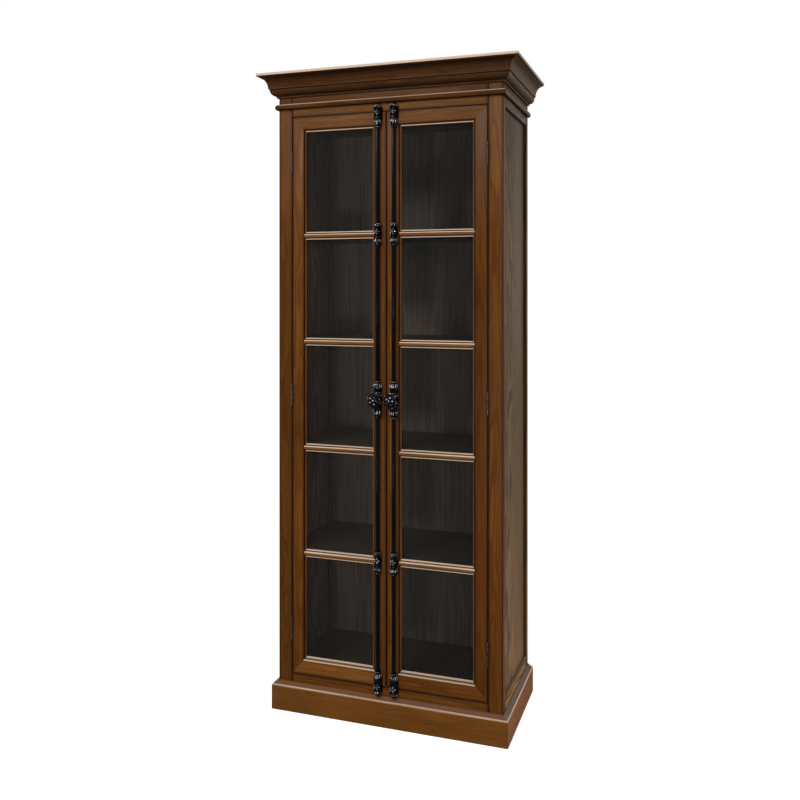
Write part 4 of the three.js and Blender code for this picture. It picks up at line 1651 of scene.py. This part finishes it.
@dataclass(frozen=True)
class Door:
    """One glazed door without its metalwork.

    Attributes:
        side: The side it is on.
        stile: The width of its stiles.
        top_rail: The height of its top rail.
        bottom_rail: The height of its bottom rail.
        bead_width: The width of the strip behind the glass.
        joint: Half of the gap in a mitre.
        ease: The width of the frame's eased edges.
        bead_ease: The width of the eased edges behind the glass.
        arris: How strongly the bottom rail's top edge is painted pale as a highlight.
        fade: How strongly a pale painted sheen lies on the frame towards the top.
        shaded_fade: How strongly it lies on the right door's outer stile.
        shaded_tone: How much darker that stile is, as painted shade.
    """

    side: Side
    stile: float = 0.043
    top_rail: float = 0.044
    bottom_rail: float = 0.051
    bead_width: float = 0.0067
    joint: float = 0.0001
    ease: float = 0.0011
    bead_ease: float = 0.0004
    arris: float = 0.85
    fade: float = 0.08
    shaded_fade: float = 0.22
    shaded_tone: float = -0.07

    def _members(
        self, shop: Workshop, node: str, names: str, sizes: tuple[float, float, float],
        ease: float,
    ) -> None:
        """Cuts a frame into two uprights and two rails that meet in mitres.

        Args:
            shop: The workshop.
            node: The frame's node.
            names: The start of the members' names.
            sizes: The width of the uprights and the heights of the bottom and top rails.
            ease: The width of the eased edges.
        """
        width, bottom, top = sizes
        low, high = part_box(node)
        middle = ((low.x + high.x) / 2, (low.z + high.z) / 2)
        corners = {
            (x_name, z_name): ((x, z), (x + inward_x, z + inward_z))
            for x_name, x, inward_x in (("left", low.x, width), ("right", high.x, -width))
            for z_name, z, inward_z in (("bottom", low.z, bottom), ("top", high.z, -top))
        }
        # The left door's bottom rail is lighter: painted light on its level grain.
        bottom_tone = 0.2 if self.side is Side.LEFT else 0.0
        tones = {"left": 0.0, "right": -0.04, "top": 0.08, "bottom": bottom_tone}
        for name, tone in tones.items():
            upright = name in ("left", "right")
            grain = Axis.Z if upright else Axis.X
            ends = [corner for key, corner in corners.items() if name in key]
            kept = (ends[0][0][0], middle[1]) if upright else (middle[0], ends[0][0][1])
            cuts = [Cut.mitre(outer, inner, kept, self.joint) for outer, inner in ends]
            axis = Axis.X if upright else Axis.Z
            beyond = 1 if name in ("left", "bottom") else -1
            cuts.append(Cut.beyond(axis, middle[0] if upright else middle[1], beyond))
            member = board(f"{names}_member_{name}_{self.side.word}", node, cuts, ease)
            ageing = Ageing(outlined=0.95, tone=tone, lit_top=True)
            # Door frames get a pale painted sheen towards the top and a painted highlight on the bottom rail's top
            # edge; the right door's outer stile gets more sheen and a darker tone.
            if names == "door":
                arris = self.arris if name == "bottom" else 0.0
                ageing = replace(ageing, arris=arris, fade=self.fade)
                if (self.side, name) == (Side.RIGHT, "right"):
                    ageing = replace(ageing, fade=self.shaded_fade, tone=tone + self.shaded_tone)
            shop.wood(member, node, grain, ageing=ageing)

    def build(self, shop: Workshop) -> None:
        """Makes the frame, the lattice, the strip behind the glass, and dresses the glass."""
        word = self.side.word
        sizes = (self.stile, self.bottom_rail, self.top_rail)
        self._members(shop, f"door_frame_{word}", "door", sizes, self.ease)
        sizes = (self.bead_width,) * 3
        self._members(shop, f"glazing_bead_{word}", "glazing", sizes, self.bead_ease)
        Sash(self.side).build(shop)
        shop.carried_over(f"door_glass_{word}")


@dataclass(frozen=True)
class Hinge:
    """A butt hinge with ball ends, in two halves.

    Attributes:
        side: The side it is on.
        row: Its place: bottom, middle or top.
        knuckle: The knuckles' radius.
        pin: The pin's radius.
        bore: The radius of the bore round the pin.
        ball: The radius of the balls at the ends.
        ball_out: How far their centres lie beyond the knuckles.
        gap: The clearance between knuckles.
        soft: The rounding of the knuckles' ends.
        leaf: The leaves' thickness.
        screw: The radius of a screw head.
        proud: How far its middle and its shoulder stand out of the leaf.
        sunk: How deep it is let in.
        screw_line: How far the screws lie behind the door's front.
        screw_shares: The shares of the hinge's height at which they lie.
        places: How many points go round a knuckle.
    """

    side: Side
    row: str
    knuckle: float = 0.0036
    pin: float = 0.0016
    bore: float = 0.002
    ball: float = 0.0028
    ball_out: float = 0.0012
    gap: float = 0.0003
    soft: float = 0.0004
    leaf: float = 0.0017
    screw: float = 0.0028
    proud: Span = (0.00015, 0.00012)
    sunk: float = 0.0004
    screw_line: float = 0.008
    screw_shares: tuple[float, ...] = (0.16, 0.5, 0.84)
    places: int = 28

    def _stretch(self) -> Span:
        """The hinge's lowest and highest point without its balls."""
        low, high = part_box(f"hinge_door_leaf_{self.side.word}_{self.row}")
        return low.z, high.z

    def _leaf(self, node: str, across: Span, tabs: Sequence[Span], axis_y: float) -> Skin:
        """A thin plate with tabs that reach to the knuckles, as a prism across its thickness.

        Args:
            node: The leaf's node.
            across: Its X span.
            tabs: The Z span of each tab.
            axis_y: The Y of the hinge's axis.

        Returns:
            The skin.
        """
        _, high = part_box(node)
        near = axis_y + self.knuckle + self.gap
        bottom, top = self._stretch()
        outline = [(high.y, bottom), (high.y, top)]
        for start, end in sorted(tabs, reverse=True):
            outline += [(near, end), (axis_y, end), (axis_y, start), (near, start)]
        return prism(np.array(outline), Axis.X, across)

    def _screws(self, x: float, outward: float, y: float) -> list[Skin]:
        """Three countersunk screw heads.

        Args:
            x: The X of the leaf's face.
            outward: The way that face looks along X.
            y: The Y of the heads.

        Returns:
            Their skins.
        """
        bottom, top = self._stretch()
        crown, shoulder = self.proud
        profile = np.array([
            (0.0, crown), (self.screw * 0.8, shoulder), (self.screw, 0.0),
            (self.screw, -self.sunk), (0.0, -self.sunk),
        ])
        disc = turned(profile, (0.0, 0.0), Axis.Z, 20).rings
        head = np.stack([disc[..., 2] * outward, disc[..., 0], disc[..., 1]], -1)
        heights = [bottom + (top - bottom) * share for share in self.screw_shares]
        return [Skin(head + np.array([x, y, height])) for height in heights]

    def _knuckle(self, span: Span) -> list[Span]:
        """A knuckle's outline between two heights, with softened ends."""
        radius, soft = self.knuckle, self.soft
        start, end = span
        return [(radius - soft, start), (radius, start + soft), (radius, end - soft),
                (radius - soft, end)]

    def build(self, shop: Workshop) -> None:
        """Makes the post's half with the pin, and the door's half."""
        word, sign = self.side.word, float(self.side.value)
        joint = next(j for j in frame["joints"] if j["child"] == f"door_{word}")
        x, y = joint["pos_m"][0], joint["pos_m"][1]
        bottom, top = self._stretch()
        third = (top - bottom - 2 * self.gap) / 3
        outer = [(bottom, bottom + third), (top - third, top)]
        inner = (bottom + third + self.gap, top - third - self.gap)
        door_low, door_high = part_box(f"door_frame_{word}")
        edge = door_high.x if self.side is Side.RIGHT else -door_low.x
        post_low, post_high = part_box(f"face_stile_{word}")
        inside = post_low.x if self.side is Side.RIGHT else -post_high.x
        line = door_low.y + self.screw_line

        node = f"hinge_frame_leaf_{word}_{self.row}"
        round_ball = (self.ball, self.ball)
        barrel = turned(np.array([
            *arc((0.0, bottom - self.ball_out), round_ball, -90, 35, 10),
            *self._knuckle(outer[0]), (self.pin, outer[0][1]), (self.pin, outer[1][0]),
            *self._knuckle(outer[1]),
            *arc((0.0, top + self.ball_out), round_ball, 90, -35, 10)[::-1],
        ]), (x, y), Axis.Z, self.places)
        leaf = self._leaf(node, self.side.span(inside, inside + self.leaf), outer, y)
        screws = self._screws(sign * inside, -sign, line)
        fixed = solid_piece(f"hinge_post_half_{word}_{self.row}", [barrel, leaf, *screws])
        shop.metal(fixed, node)

        node = f"hinge_door_leaf_{word}_{self.row}"
        sleeve = np.array([(self.bore, inner[0]), *self._knuckle(inner), (self.bore, inner[1])])
        tube = Skin(turned(sleeve, (x, y), Axis.Z, self.places).rings, Ends.LOOPED)
        leaf = self._leaf(node, self.side.span(edge - self.leaf, edge), [inner], y)
        screws = self._screws(sign * edge, sign, line)
        moving = solid_piece(f"hinge_door_half_{word}_{self.row}", [tube, leaf, *screws])
        shop.metal(moving, node)


# Rod bolts


@dataclass(frozen=True)
class Relief:
    """The grid on which a casting's ornament is worked out.

    Attributes:
        t: The share of the casting's length, as a column.
        turn: The angle round its front, from 0 to pi, as a row.
    """

    t: np.ndarray
    turn: np.ndarray

    def leaves(self, band: Span, count: int, lift: float, offset: float = 0.0) -> np.ndarray:
        """Pointed leaves side by side, from the band's first place to its second.

        Each leaf is a half round ridge whose width shrinks from root to tip as a quarter
        of a circle does, highest two thirds of the way, with a vein along its middle.

        Args:
            band: The places of their roots and tips.
            count: How many of them share the front.
            lift: How high they rise.
            offset: The share of a leaf by which they are shifted sideways.

        Returns:
            The height over the grid.
        """
        share = np.clip((self.t - band[0]) / (band[1] - band[0]), 0, 1)
        beside = np.abs((self.turn * count / np.pi + offset) % 1 - 0.5) * 2
        width = np.sqrt(np.clip(1 - share ** 2.5, 0, 1)) + 1e-6
        ridge = np.sqrt(np.clip(1 - (beside / width) ** 2, 0, 1))
        vein = 1 - 0.45 * np.exp(-(beside / 0.14) ** 2)
        return lift * ridge * vein * np.sin(np.pi * np.clip(share, 0, 1) ** 1.4) ** 0.8

    def ring(self, place: float, width: float, lift: float) -> np.ndarray:
        """A round ridge across the casting: a bell curve along its length."""
        return lift * np.exp(-((self.t - place) / width) ** 2) * np.ones_like(self.turn)

    def pearls(self, place: float, width: float, count: int, lift: float) -> np.ndarray:
        """A row of pearls: a bell curve along the length times a row of humps round it."""
        humps = np.sin(self.turn * count) ** 2
        return lift * np.exp(-((self.t - place) / width) ** 2) * humps

    def rosette(self, place: float, size: Span, petals: int, lift: float) -> np.ndarray:
        """A flower on the front: petals on a ring about a round boss.

        Args:
            place: Its middle.
            size: Its width, as a cosine of the angle, and its length.
            petals: How many petals it has.
            lift: How high it rises.

        Returns:
            The height over the grid.
        """
        side = np.cos(self.turn) / size[0]
        up = (self.t - place) / size[1]
        away = np.hypot(side, up)
        swing = np.arctan2(up, side)
        petal = (0.55 + 0.45 * np.cos(petals * swing)) * np.exp(-((away - 0.62) / 0.26) ** 2)
        return lift * (petal + 1.1 * np.exp(-(away / 0.27) ** 2))

    def crests(self, relief: np.ndarray, reach: int = 9, rise: float = 0.0006) -> np.ndarray:
        """How far each point stands above the mean of its surroundings.

        Args:
            relief: The height over the grid.
            reach: The side of the surroundings, in points.
            rise: The difference that counts as 1.

        Returns:
            A value from 0 to 1 for each point.
        """
        mean = relief
        for way in (0, 1):
            mean = np.apply_along_axis(np.convolve, way, mean, np.full(reach, 1 / reach), "same")
        return np.clip((relief - mean) / rise, 0, 1)


@dataclass(frozen=True)
class BoltShape:
    """The silhouette and ornament of one kind of casting.

    Attributes:
        places: Shares of the casting's length.
        halves: Its half width at each of them.
        reach: How far it stands out where it is widest.
        steady: The share of that reach that doesn't shrink with its width.
    """

    places: tuple[float, ...]
    halves: tuple[float, ...]
    reach: float = 0.019
    steady: float = 0.52

    def half(self, t: np.ndarray) -> np.ndarray:
        """The half width along the casting, between the listed places."""
        return np.interp(t, self.places, self.halves)


END_FITTING = BoltShape(
    (0, 0.15, 0.21, 0.27, 0.33, 0.4, 0.45, 0.49, 0.56, 0.63, 0.7, 0.76, 0.82, 0.88, 0.94, 1.0),
    (0.0086, 0.0089, 0.0101, 0.0115, 0.0133, 0.0146, 0.0148, 0.0142, 0.0155, 0.0151, 0.0155,
     0.0152, 0.0144, 0.012, 0.0092, 0.0072),
)
MIDDLE_FITTING = BoltShape(
    (0, 0.06, 0.14, 0.26, 0.36, 0.44, 0.58, 0.7, 0.78, 0.86, 0.93, 1.0),
    (0.0086, 0.0092, 0.0086, 0.0104, 0.0104, 0.0118, 0.0136, 0.011, 0.0096, 0.0108, 0.0112,
     0.0102),
)
CASE_FITTING = BoltShape(
    (0, 0.05, 0.1, 0.17, 0.24, 0.32, 0.4, 0.6, 0.68, 0.76, 0.83, 0.9, 0.95, 1.0),
    (0.0092, 0.0104, 0.009, 0.012, 0.0114, 0.013, 0.014, 0.014, 0.013, 0.0114, 0.012,
     0.009, 0.0104, 0.0092), 0.02,
)


@dataclass(frozen=True)
class RodBolt:
    """The long bolt on one door: case, knob, two rods, guides and keepers.

    Attributes:
        side: The side it is on.
        rod: The rods' radius.
        bore: The radius of the bores that the rods run in.
        wall: The least wall outside a bore.
        front_places: How many points go round a casting's front.
        back_places: How many points lie on its flat back.
        rings: How many rings of points a casting has.
        soft: The rounding of the rods' ends.
        blind: The depth of a keeper's bore.
        last: The share of the silhouette at which a keeper's rings end.
        tip_rise: How far its tip lies beyond them, as a share of the whole length.
        tip_out: How far the tip lies in front of the flat back.
        tip_drawn: How far its last ring is drawn in towards the tip.
    """

    side: Side
    rod: float = 0.006
    bore: float = 0.0064
    wall: float = 0.0022
    front_places: int = 72
    back_places: int = 14
    rings: int = 110
    soft: float = 0.0008
    blind: float = 0.0135
    last: float = 0.985
    tip_rise: float = 0.012
    tip_out: float = 0.008
    tip_drawn: float = 0.4

    def _axis(self) -> tuple[float, float]:
        """The X and Y of the rods' common axis."""
        low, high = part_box(f"bolt_rod_{self.side.word}_upper")
        return (low.x + high.x) / 2, (low.y + high.y) / 2

    def _sections(
        self, shape: BoltShape, t: np.ndarray, relief: np.ndarray, back: float,
        height: np.ndarray,
    ) -> np.ndarray:
        """Rings of points: a half round front with its relief, closed by a flat back.

        The front lies sideways by the half width times the cosine of the angle, and out by
        the reach times its sine. Both have the relief added, which sideways fades to
        nothing at the back.

        Args:
            shape: The casting's silhouette.
            t: Shares of its length, as a column.
            relief: The ornament's height on the grid of shares and angles.
            back: The Y of the flat back.
            height: The Z of each share.

        Returns:
            The points by ring, place and coordinate.
        """
        x, y = self._axis()
        turn = np.linspace(0, np.pi, self.front_places)[None, :]
        least = self.bore + self.wall
        half = np.maximum(shape.half(t), least)
        deep = back - y
        share = shape.steady + (1 - shape.steady) * half / max(shape.halves)
        reach = np.maximum(deep + least, shape.reach * share)
        edge = np.clip(np.sin(turn) * 6, 0, 1)
        side = (half + relief * edge) * np.cos(turn)
        out = (reach + relief) * np.sin(turn) ** 0.9
        front = np.stack([x + side, back - out, np.broadcast_to(height, side.shape)], -1)
        share = np.linspace(0, 1, self.back_places + 2)[None, 1:-1, None]
        flat = front[:, -1:] * (1 - share) + front[:, :1] * share
        return np.concatenate([front, flat], 1)

    def _bore(self, rings: np.ndarray, height: Sequence[float]) -> np.ndarray:
        """Rings of a round bore that match the casting's rings point for point.

        Args:
            rings: The casting's rings.
            height: The Z of each ring of the bore.

        Returns:
            The points by ring, place and coordinate.
        """
        x, y = self._axis()
        count = rings.shape[1]
        turn = np.concatenate([
            np.linspace(-0.25 * np.pi, 1.25 * np.pi, self.front_places),
            np.linspace(1.25 * np.pi, 1.75 * np.pi, count - self.front_places + 2)[1:-1],
        ])
        circle = np.stack([x + self.bore * np.cos(turn), y - self.bore * np.sin(turn)], -1)
        return np.stack([
            np.column_stack([circle, np.full(count, place)]) for place in height
        ])

    def _casting(
        self, shop: Workshop, name: str, node: str, shape: BoltShape, window: Span, length: Span,
        ornament: "Ornament", depth: float | None = None,
    ) -> None:
        """One casting round a bore.

        Args:
            shop: The workshop.
            name: The piece's name.
            node: The node that it stands for.
            shape: Its silhouette.
            window: The shares of the silhouette that it takes.
            length: The heights of share 0 and share 1.
            ornament: Its kind of relief.
            depth: The height at which a blind bore ends. A bore goes through without one.
        """
        t = np.linspace(*window, self.rings)[:, None]
        turn = np.linspace(0, np.pi, self.front_places)[None, :]
        grid = Relief(t, turn)
        relief = ornament.relief(grid)
        height = length[0] + (length[1] - length[0]) * t
        _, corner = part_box(node)
        rings = self._sections(shape, t, relief, corner.y, height)
        flat = np.zeros((self.rings, self.back_places))
        # The relief's crests are marked for metal showing through and for painted glints.
        crest = np.concatenate([grid.crests(relief), flat], 1)
        if depth is None:
            bore = self._bore(rings, [height[-1, 0], height[0, 0]])
            wear = np.pad(crest, ((0, 2), (0, 0)))
            skin = Skin(np.concatenate([rings, bore]), Ends.LOOPED, wear)
        else:
            bore = self._bore(rings, [depth, height[0, 0]])
            x, y = self._axis()
            pole = np.broadcast_to(np.array([x, y, depth]), rings[:1].shape)
            cap = rings[-1:].copy()
            cap[..., 2] += (length[1] - length[0]) * self.tip_rise
            middle = np.array([x, corner.y - self.tip_out])
            cap[..., :2] += (middle - cap[..., :2]) * self.tip_drawn
            tip = np.broadcast_to(cap.mean(1, keepdims=True), cap.shape)
            wear = np.pad(crest, ((3, 2), (0, 0)))
            skin = Skin(np.concatenate([pole, bore, rings, cap, tip]), wear=wear)
        shop.metal(solid_piece(name, [skin], 50.0), node)

    def build(self, shop: Workshop) -> None:
        """Makes every piece of the bolt."""
        word = self.side.word
        for end, sign in (("upper", 1), ("lower", -1)):
            self._rod(shop, end)
            guide = f"bolt_end_guide_{word}_{end}"
            keeper = f"bolt_keeper_{word}_{end}"
            start, first = (corner.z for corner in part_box(guide)[::sign])
            second, stop = (corner.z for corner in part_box(keeper)[::sign])
            length = (start, stop)
            first, last = ((seam - start) / (stop - start) for seam in (first, second))
            self._casting(shop, f"bolt_end_fitting_{word}_{end}", guide, END_FITTING,
                          (0, first), length, Ornament.END)
            self._casting(shop, f"bolt_catch_{word}_{end}", keeper, END_FITTING,
                          (last, self.last), length, Ornament.END, second + sign * self.blind)
            middle = f"bolt_middle_guide_{word}_{end}"
            low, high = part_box(middle)
            self._casting(shop, f"bolt_rosette_guide_{word}_{end}", middle, MIDDLE_FITTING,
                          (0, 1), (low.z, high.z), Ornament.MIDDLE)
        node = f"bolt_case_{word}"
        low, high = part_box(node)
        self._casting(shop, f"bolt_centre_case_{word}", node, CASE_FITTING, (0, 1),
                      (low.z, high.z), Ornament.CASE)
        Knob(self.side).build(shop)

    def _rod(self, shop: Workshop, end: str) -> None:
        """A round rod with softened ends.

        Args:
            shop: The workshop.
            end: Which of the two rods, upper or lower.
        """
        node = f"bolt_rod_{self.side.word}_{end}"
        low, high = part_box(node)
        soft, radius = self.soft, self.rod
        profile = np.array([
            (0.0, low.z), (radius - soft, low.z), (radius - soft * 0.3, low.z + soft * 0.3),
            (radius, low.z + soft), (radius, high.z - soft),
            (radius - soft * 0.3, high.z - soft * 0.3), (radius - soft, high.z), (0.0, high.z),
        ])
        shop.metal(solid_piece(f"{node}_bar", [turned(profile, self._axis(), Axis.Z, 48)]), node)


@dataclass(frozen=True)
class Knob:
    """A bolt's knob: an upright oval with twisted lobes and a flower, on a neck.

    Attributes:
        side: The side it is on.
        half_depth: Half of the oval's depth.
        lobes: How many lobes go round it.
        twist: How far a lobe turns between the rim and a pole, in radians.
        petals: How many petals the flower has.
        radii: The radii of the neck, its collar and its seat.
        steps: How far from the seat's foot the neck starts, the collar starts and ends,
            and the seat ends.
        clear: The gap between the seat and the bolt's case.
    """

    side: Side
    half_depth: float = 0.0135
    lobes: int = 7
    twist: float = 1.1
    petals: int = 5
    radii: tuple[float, float, float] = (0.0065, 0.0082, 0.0068)
    steps: tuple[float, float, float, float] = (0.006, 0.0045, 0.003, 0.0018)
    clear: float = 0.0005

    def _oval(self, centre: np.ndarray, half: np.ndarray) -> Skin:
        """An ellipsoid of angles round the neck's axis and from its front pole.

        Lobes swell it round the rim, twisting towards the back. A ring of petals and a
        boss rise round the front pole, inside a groove.

        Args:
            centre: Its middle.
            half: Half of its size along each axis.

        Returns:
            The skin.
        """
        tilt = np.linspace(0, np.pi, 90)[:, None]
        turn = np.linspace(0, 2 * np.pi, 128, endpoint=False)[None, :]
        twisted = turn + self.twist * np.cos(tilt) * float(self.side.value)
        ridge = np.abs(np.cos(self.lobes / 2 * twisted))
        lobes = ridge ** 0.8 * np.sin(tilt) ** 1.5
        cross = 0.5 + 0.5 * np.cos(9 * tilt)
        petals = (0.5 + 0.5 * np.cos(self.petals * turn)) * np.exp(-((tilt - 0.6) / 0.22) ** 2)
        boss = np.exp(-(tilt / 0.26) ** 2)
        groove = np.exp(-((tilt - 1.0) / 0.12) ** 2)
        swell = 0.74 + 0.2 * lobes + 0.06 * cross * lobes
        depth = 0.62 + 0.22 * petals + 0.38 * boss + 0.2 * lobes - 0.18 * groove
        # Lobe crests, petals and the boss are marked for metal showing through and for painted glints.
        rim = np.clip((ridge - 0.72) / 0.2, 0, 1) * np.sin(tilt) ** 2 * (0.4 + 0.6 * cross)
        points = np.stack([
            centre[0] + half[0] * swell * np.sin(tilt) * np.cos(turn),
            centre[1] - half[1] * depth * np.cos(tilt) * np.ones_like(turn),
            centre[2] + half[2] * swell * np.sin(tilt) * np.sin(turn),
        ], -1)
        return Skin(points, wear=np.clip(rim + petals ** 2 + boss, 0, 1))

    def build(self, shop: Workshop) -> None:
        """Makes the oval and its neck, as one piece."""
        word = self.side.word
        node = f"bolt_knob_{word}"
        low, high = (np.array(corner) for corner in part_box(node))
        case_low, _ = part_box(f"bolt_case_{word}")
        half = np.array([(high[0] - low[0]) / 2, self.half_depth, (high[2] - low[2]) / 2])
        centre = np.array([(high[0] + low[0]) / 2, low[1] + half[1], (high[2] + low[2]) / 2])
        foot = case_low.y - self.clear
        neck, collar, seat = self.radii
        steps = [foot - step for step in self.steps]
        profile = np.array([
            (0.0, centre[1]), (neck, centre[1]), (neck, steps[0]), (collar, steps[1]),
            (collar, steps[2]), (seat, steps[3]), (seat, foot), (0.0, foot),
        ])
        stem = turned(profile, (centre[0], centre[2]), Axis.Y, 36)
        shop.metal(solid_piece(f"knob_{word}", [self._oval(centre, half), stem], 50.0), node)


class Ornament(Enum):
    """The three kinds of relief on the castings."""

    END = "end"
    MIDDLE = "middle"
    CASE = "case"

    def relief(self, grid: Relief) -> np.ndarray:
        """Adds up the ornament of one kind of casting.

        Args:
            grid: The casting's grid.

        Returns:
            The height over the grid.
        """
        if self is Ornament.END:
            return (
                grid.ring(0.03, 0.02, 0.0016) + grid.leaves((0.45, 0.05), 3, 0.0034)
                + grid.leaves((0.34, 0.03), 3, 0.0024, 0.5) - grid.ring(0.485, 0.016, 0.0014)
                + grid.rosette(0.62, (0.85, 0.12), 5, 0.0036) - grid.ring(0.765, 0.014, 0.0012)
                + grid.leaves((0.78, 0.975), 4, 0.0026) + grid.leaves((0.8, 0.93), 4, 0.0018, 0.5)
            )
        if self is Ornament.MIDDLE:
            return (
                grid.ring(0.03, 0.025, 0.0012) + grid.leaves((0.4, 0.05), 3, 0.0038)
                + grid.leaves((0.28, 0.02), 3, 0.0022, 0.5) - grid.ring(0.42, 0.02, 0.0014)
                + grid.rosette(0.6, (0.85, 0.15), 5, 0.0044) - grid.ring(0.78, 0.02, 0.0012)
                + grid.leaves((0.8, 0.96), 4, 0.0026) + grid.ring(0.965, 0.025, 0.0016)
            )
        return (
            grid.ring(0.03, 0.016, 0.0014) + grid.leaves((0.3, 0.05), 3, 0.004)
            + grid.leaves((0.22, 0.03), 3, 0.0026, 0.5) + grid.pearls(0.325, 0.012, 7, 0.0018)
            + grid.leaves((0.47, 0.34), 5, 0.0024) + grid.leaves((0.53, 0.66), 5, 0.0024)
            + grid.pearls(0.675, 0.012, 7, 0.0018) + grid.leaves((0.7, 0.95), 3, 0.004)
            + grid.leaves((0.78, 0.97), 3, 0.0026, 0.5) + grid.ring(0.97, 0.016, 0.0014)
        )


# The studio


@dataclass(frozen=True)
class Lamp:
    """A square soft lamp.

    Attributes:
        name: Its name.
        place: Where it hangs.
        aim: The point that it faces.
        size: Its side.
        power: Its power in watts.
        colour: The colour of its light.
    """

    name: str
    place: Place
    aim: Place
    size: float
    power: float
    colour: Colour = (1.0, 1.0, 1.0)

    def build(self) -> None:
        """Hangs it, out of the camera's sight."""
        data = bpy.data.lights.new(self.name, "AREA")
        data.size = self.size
        data.energy = self.power
        data.color = self.colour
        lamp = placed(self.name, data)
        lamp.visible_camera = False
        lamp.location = self.place
        away = np.subtract(self.place, self.aim)
        lamp.rotation_euler = (
            math.atan2(math.hypot(away[0], away[1]), away[2]), 0.0,
            math.atan2(away[1], away[0]) + math.pi / 2,
        )


LAMPS = (
    Lamp("key", (-1.15, -3.4, 3.75), (0.0, -0.2, 1.3), 0.8, 104.0),
    Lamp("overhead", (-0.4, -1.3, 4.2), (0.0, 0.0, 1.2), 1.2, 30.0),
    Lamp("front", (0.1, -3.3, 0.8), (0.0, -0.2, 1.0), 0.3, 22.0),
    Lamp("side", (3.6, 0.2, 1.0), (0.4, 0.0, 0.8), 1.6, 19.0, (1.0, 0.93, 0.83)),
    Lamp("floor side", (0.86, 0.0, 0.16), (0.39, 0.03, 0.26), 0.16, 1.4, (1.0, 0.8, 0.58)),
)


@dataclass(frozen=True)
class Studio:
    """The pale floor, the soft light and the camera at the photograph's angle.

    Attributes:
        camera_place: Where the camera stands.
        camera_turn: Its turn about Z. It looks level.
        lens: Its focal length in millimetres.
        shift: Its upward shift.
        floor_size: The side of the floor.
        floor_paint: How pale the floor is for the camera and for all other rays.
        floor_glow: How strongly it glows for the camera and for all other rays.
        fill: The strength of the world's light on the object.
    """

    camera_place: Place = (1.00523, -2.94717, 1.46472)
    camera_turn: float = 0.33251
    lens: float = 39.70
    shift: float = -0.1414
    floor_size: float = 40.0
    floor_paint: Span = (0.5, 0.62)
    floor_glow: Span = (0.74, 0.0)
    fill: float = 0.55

    def _camera(self) -> None:
        """The camera, level, with its frame shifted down."""
        data = bpy.data.cameras.new("camera")
        data.lens = self.lens
        data.sensor_width = 36.0
        data.shift_y = self.shift
        data.clip_end = 100.0
        camera = placed("camera", data)
        camera.location = self.camera_place
        camera.rotation_euler = (math.pi / 2, 0.0, self.camera_turn)
        bpy.context.scene.camera = camera

    def _background(self) -> None:
        """A world that the camera, gloss and glass see as white, and that lights softly."""
        world = bpy.data.worlds.new("studio")
        world.use_nodes = True
        nodes = Nodes(world.node_tree)
        seen = nodes.node("ShaderNodeLightPath", output="Is Camera Ray")
        for name in ("Is Glossy Ray", "Is Transmission Ray"):
            seen = seen.most(nodes.node("ShaderNodeLightPath", output=name))
        soft, white = (
            nodes.node("ShaderNodeBackground", inputs={"Color": (1.0,) * 4, "Strength": strength})
            for strength in (self.fill, 1.0)
        )
        sky = nodes.node("ShaderNodeMixShader", inputs={0: seen, 1: soft, 2: white})
        nodes.end("ShaderNodeOutputWorld", sky)
        bpy.context.scene.world = world

    def _floor(self) -> None:
        """A floor that the camera sees white but for the object's soft shadow."""
        half = self.floor_size / 2
        mesh = bpy.data.meshes.new("floor")
        corners = [(-half, -half, 0), (half, -half, 0), (half, half, 0), (-half, half, 0)]
        mesh.from_pydata(corners, [], [(0, 1, 2, 3)])
        floor = placed("floor", mesh)
        material = bpy.data.materials.new("white_floor")
        material.use_nodes = True
        nodes = Nodes(material.node_tree)
        seen = nodes.node("ShaderNodeLightPath", output="Is Camera Ray")
        paint, glow = (
            nodes.node("ShaderNodeMapRange", inputs={"Value": seen, "To Min": far, "To Max": near})
            for near, far in (self.floor_paint, self.floor_glow)
        )
        matt = nodes.node("ShaderNodeBsdfDiffuse", inputs={"Color": paint})
        light = nodes.node("ShaderNodeEmission", inputs={"Strength": glow})
        both = nodes.node("ShaderNodeAddShader", inputs={0: matt, 1: light})
        nodes.end("ShaderNodeOutputMaterial", both)
        mesh.materials.append(material)

    def build(self) -> None:
        """Sets up the camera, the world, the floor and the lamps."""
        bpy.context.scene.view_settings.view_transform = "Standard"
        self._camera()
        self._background()
        self._floor()
        for lamp in LAMPS:
            lamp.build()


def main() -> None:
    """Builds the bookcase and its studio."""
    logging.basicConfig(level=logging.INFO, format="%(message)s")
    shop = Workshop()
    Studio().build()
    Mouldings(CaseOutline.measured()).build(shop)
    Case().build(shop)
    for side in Side:
        Door(side).build(shop)
        for row in ("bottom", "middle", "top"):
            Hinge(side, row).build(shop)
        RodBolt(side).build(shop)


if __name__ == "__main__":
    main()
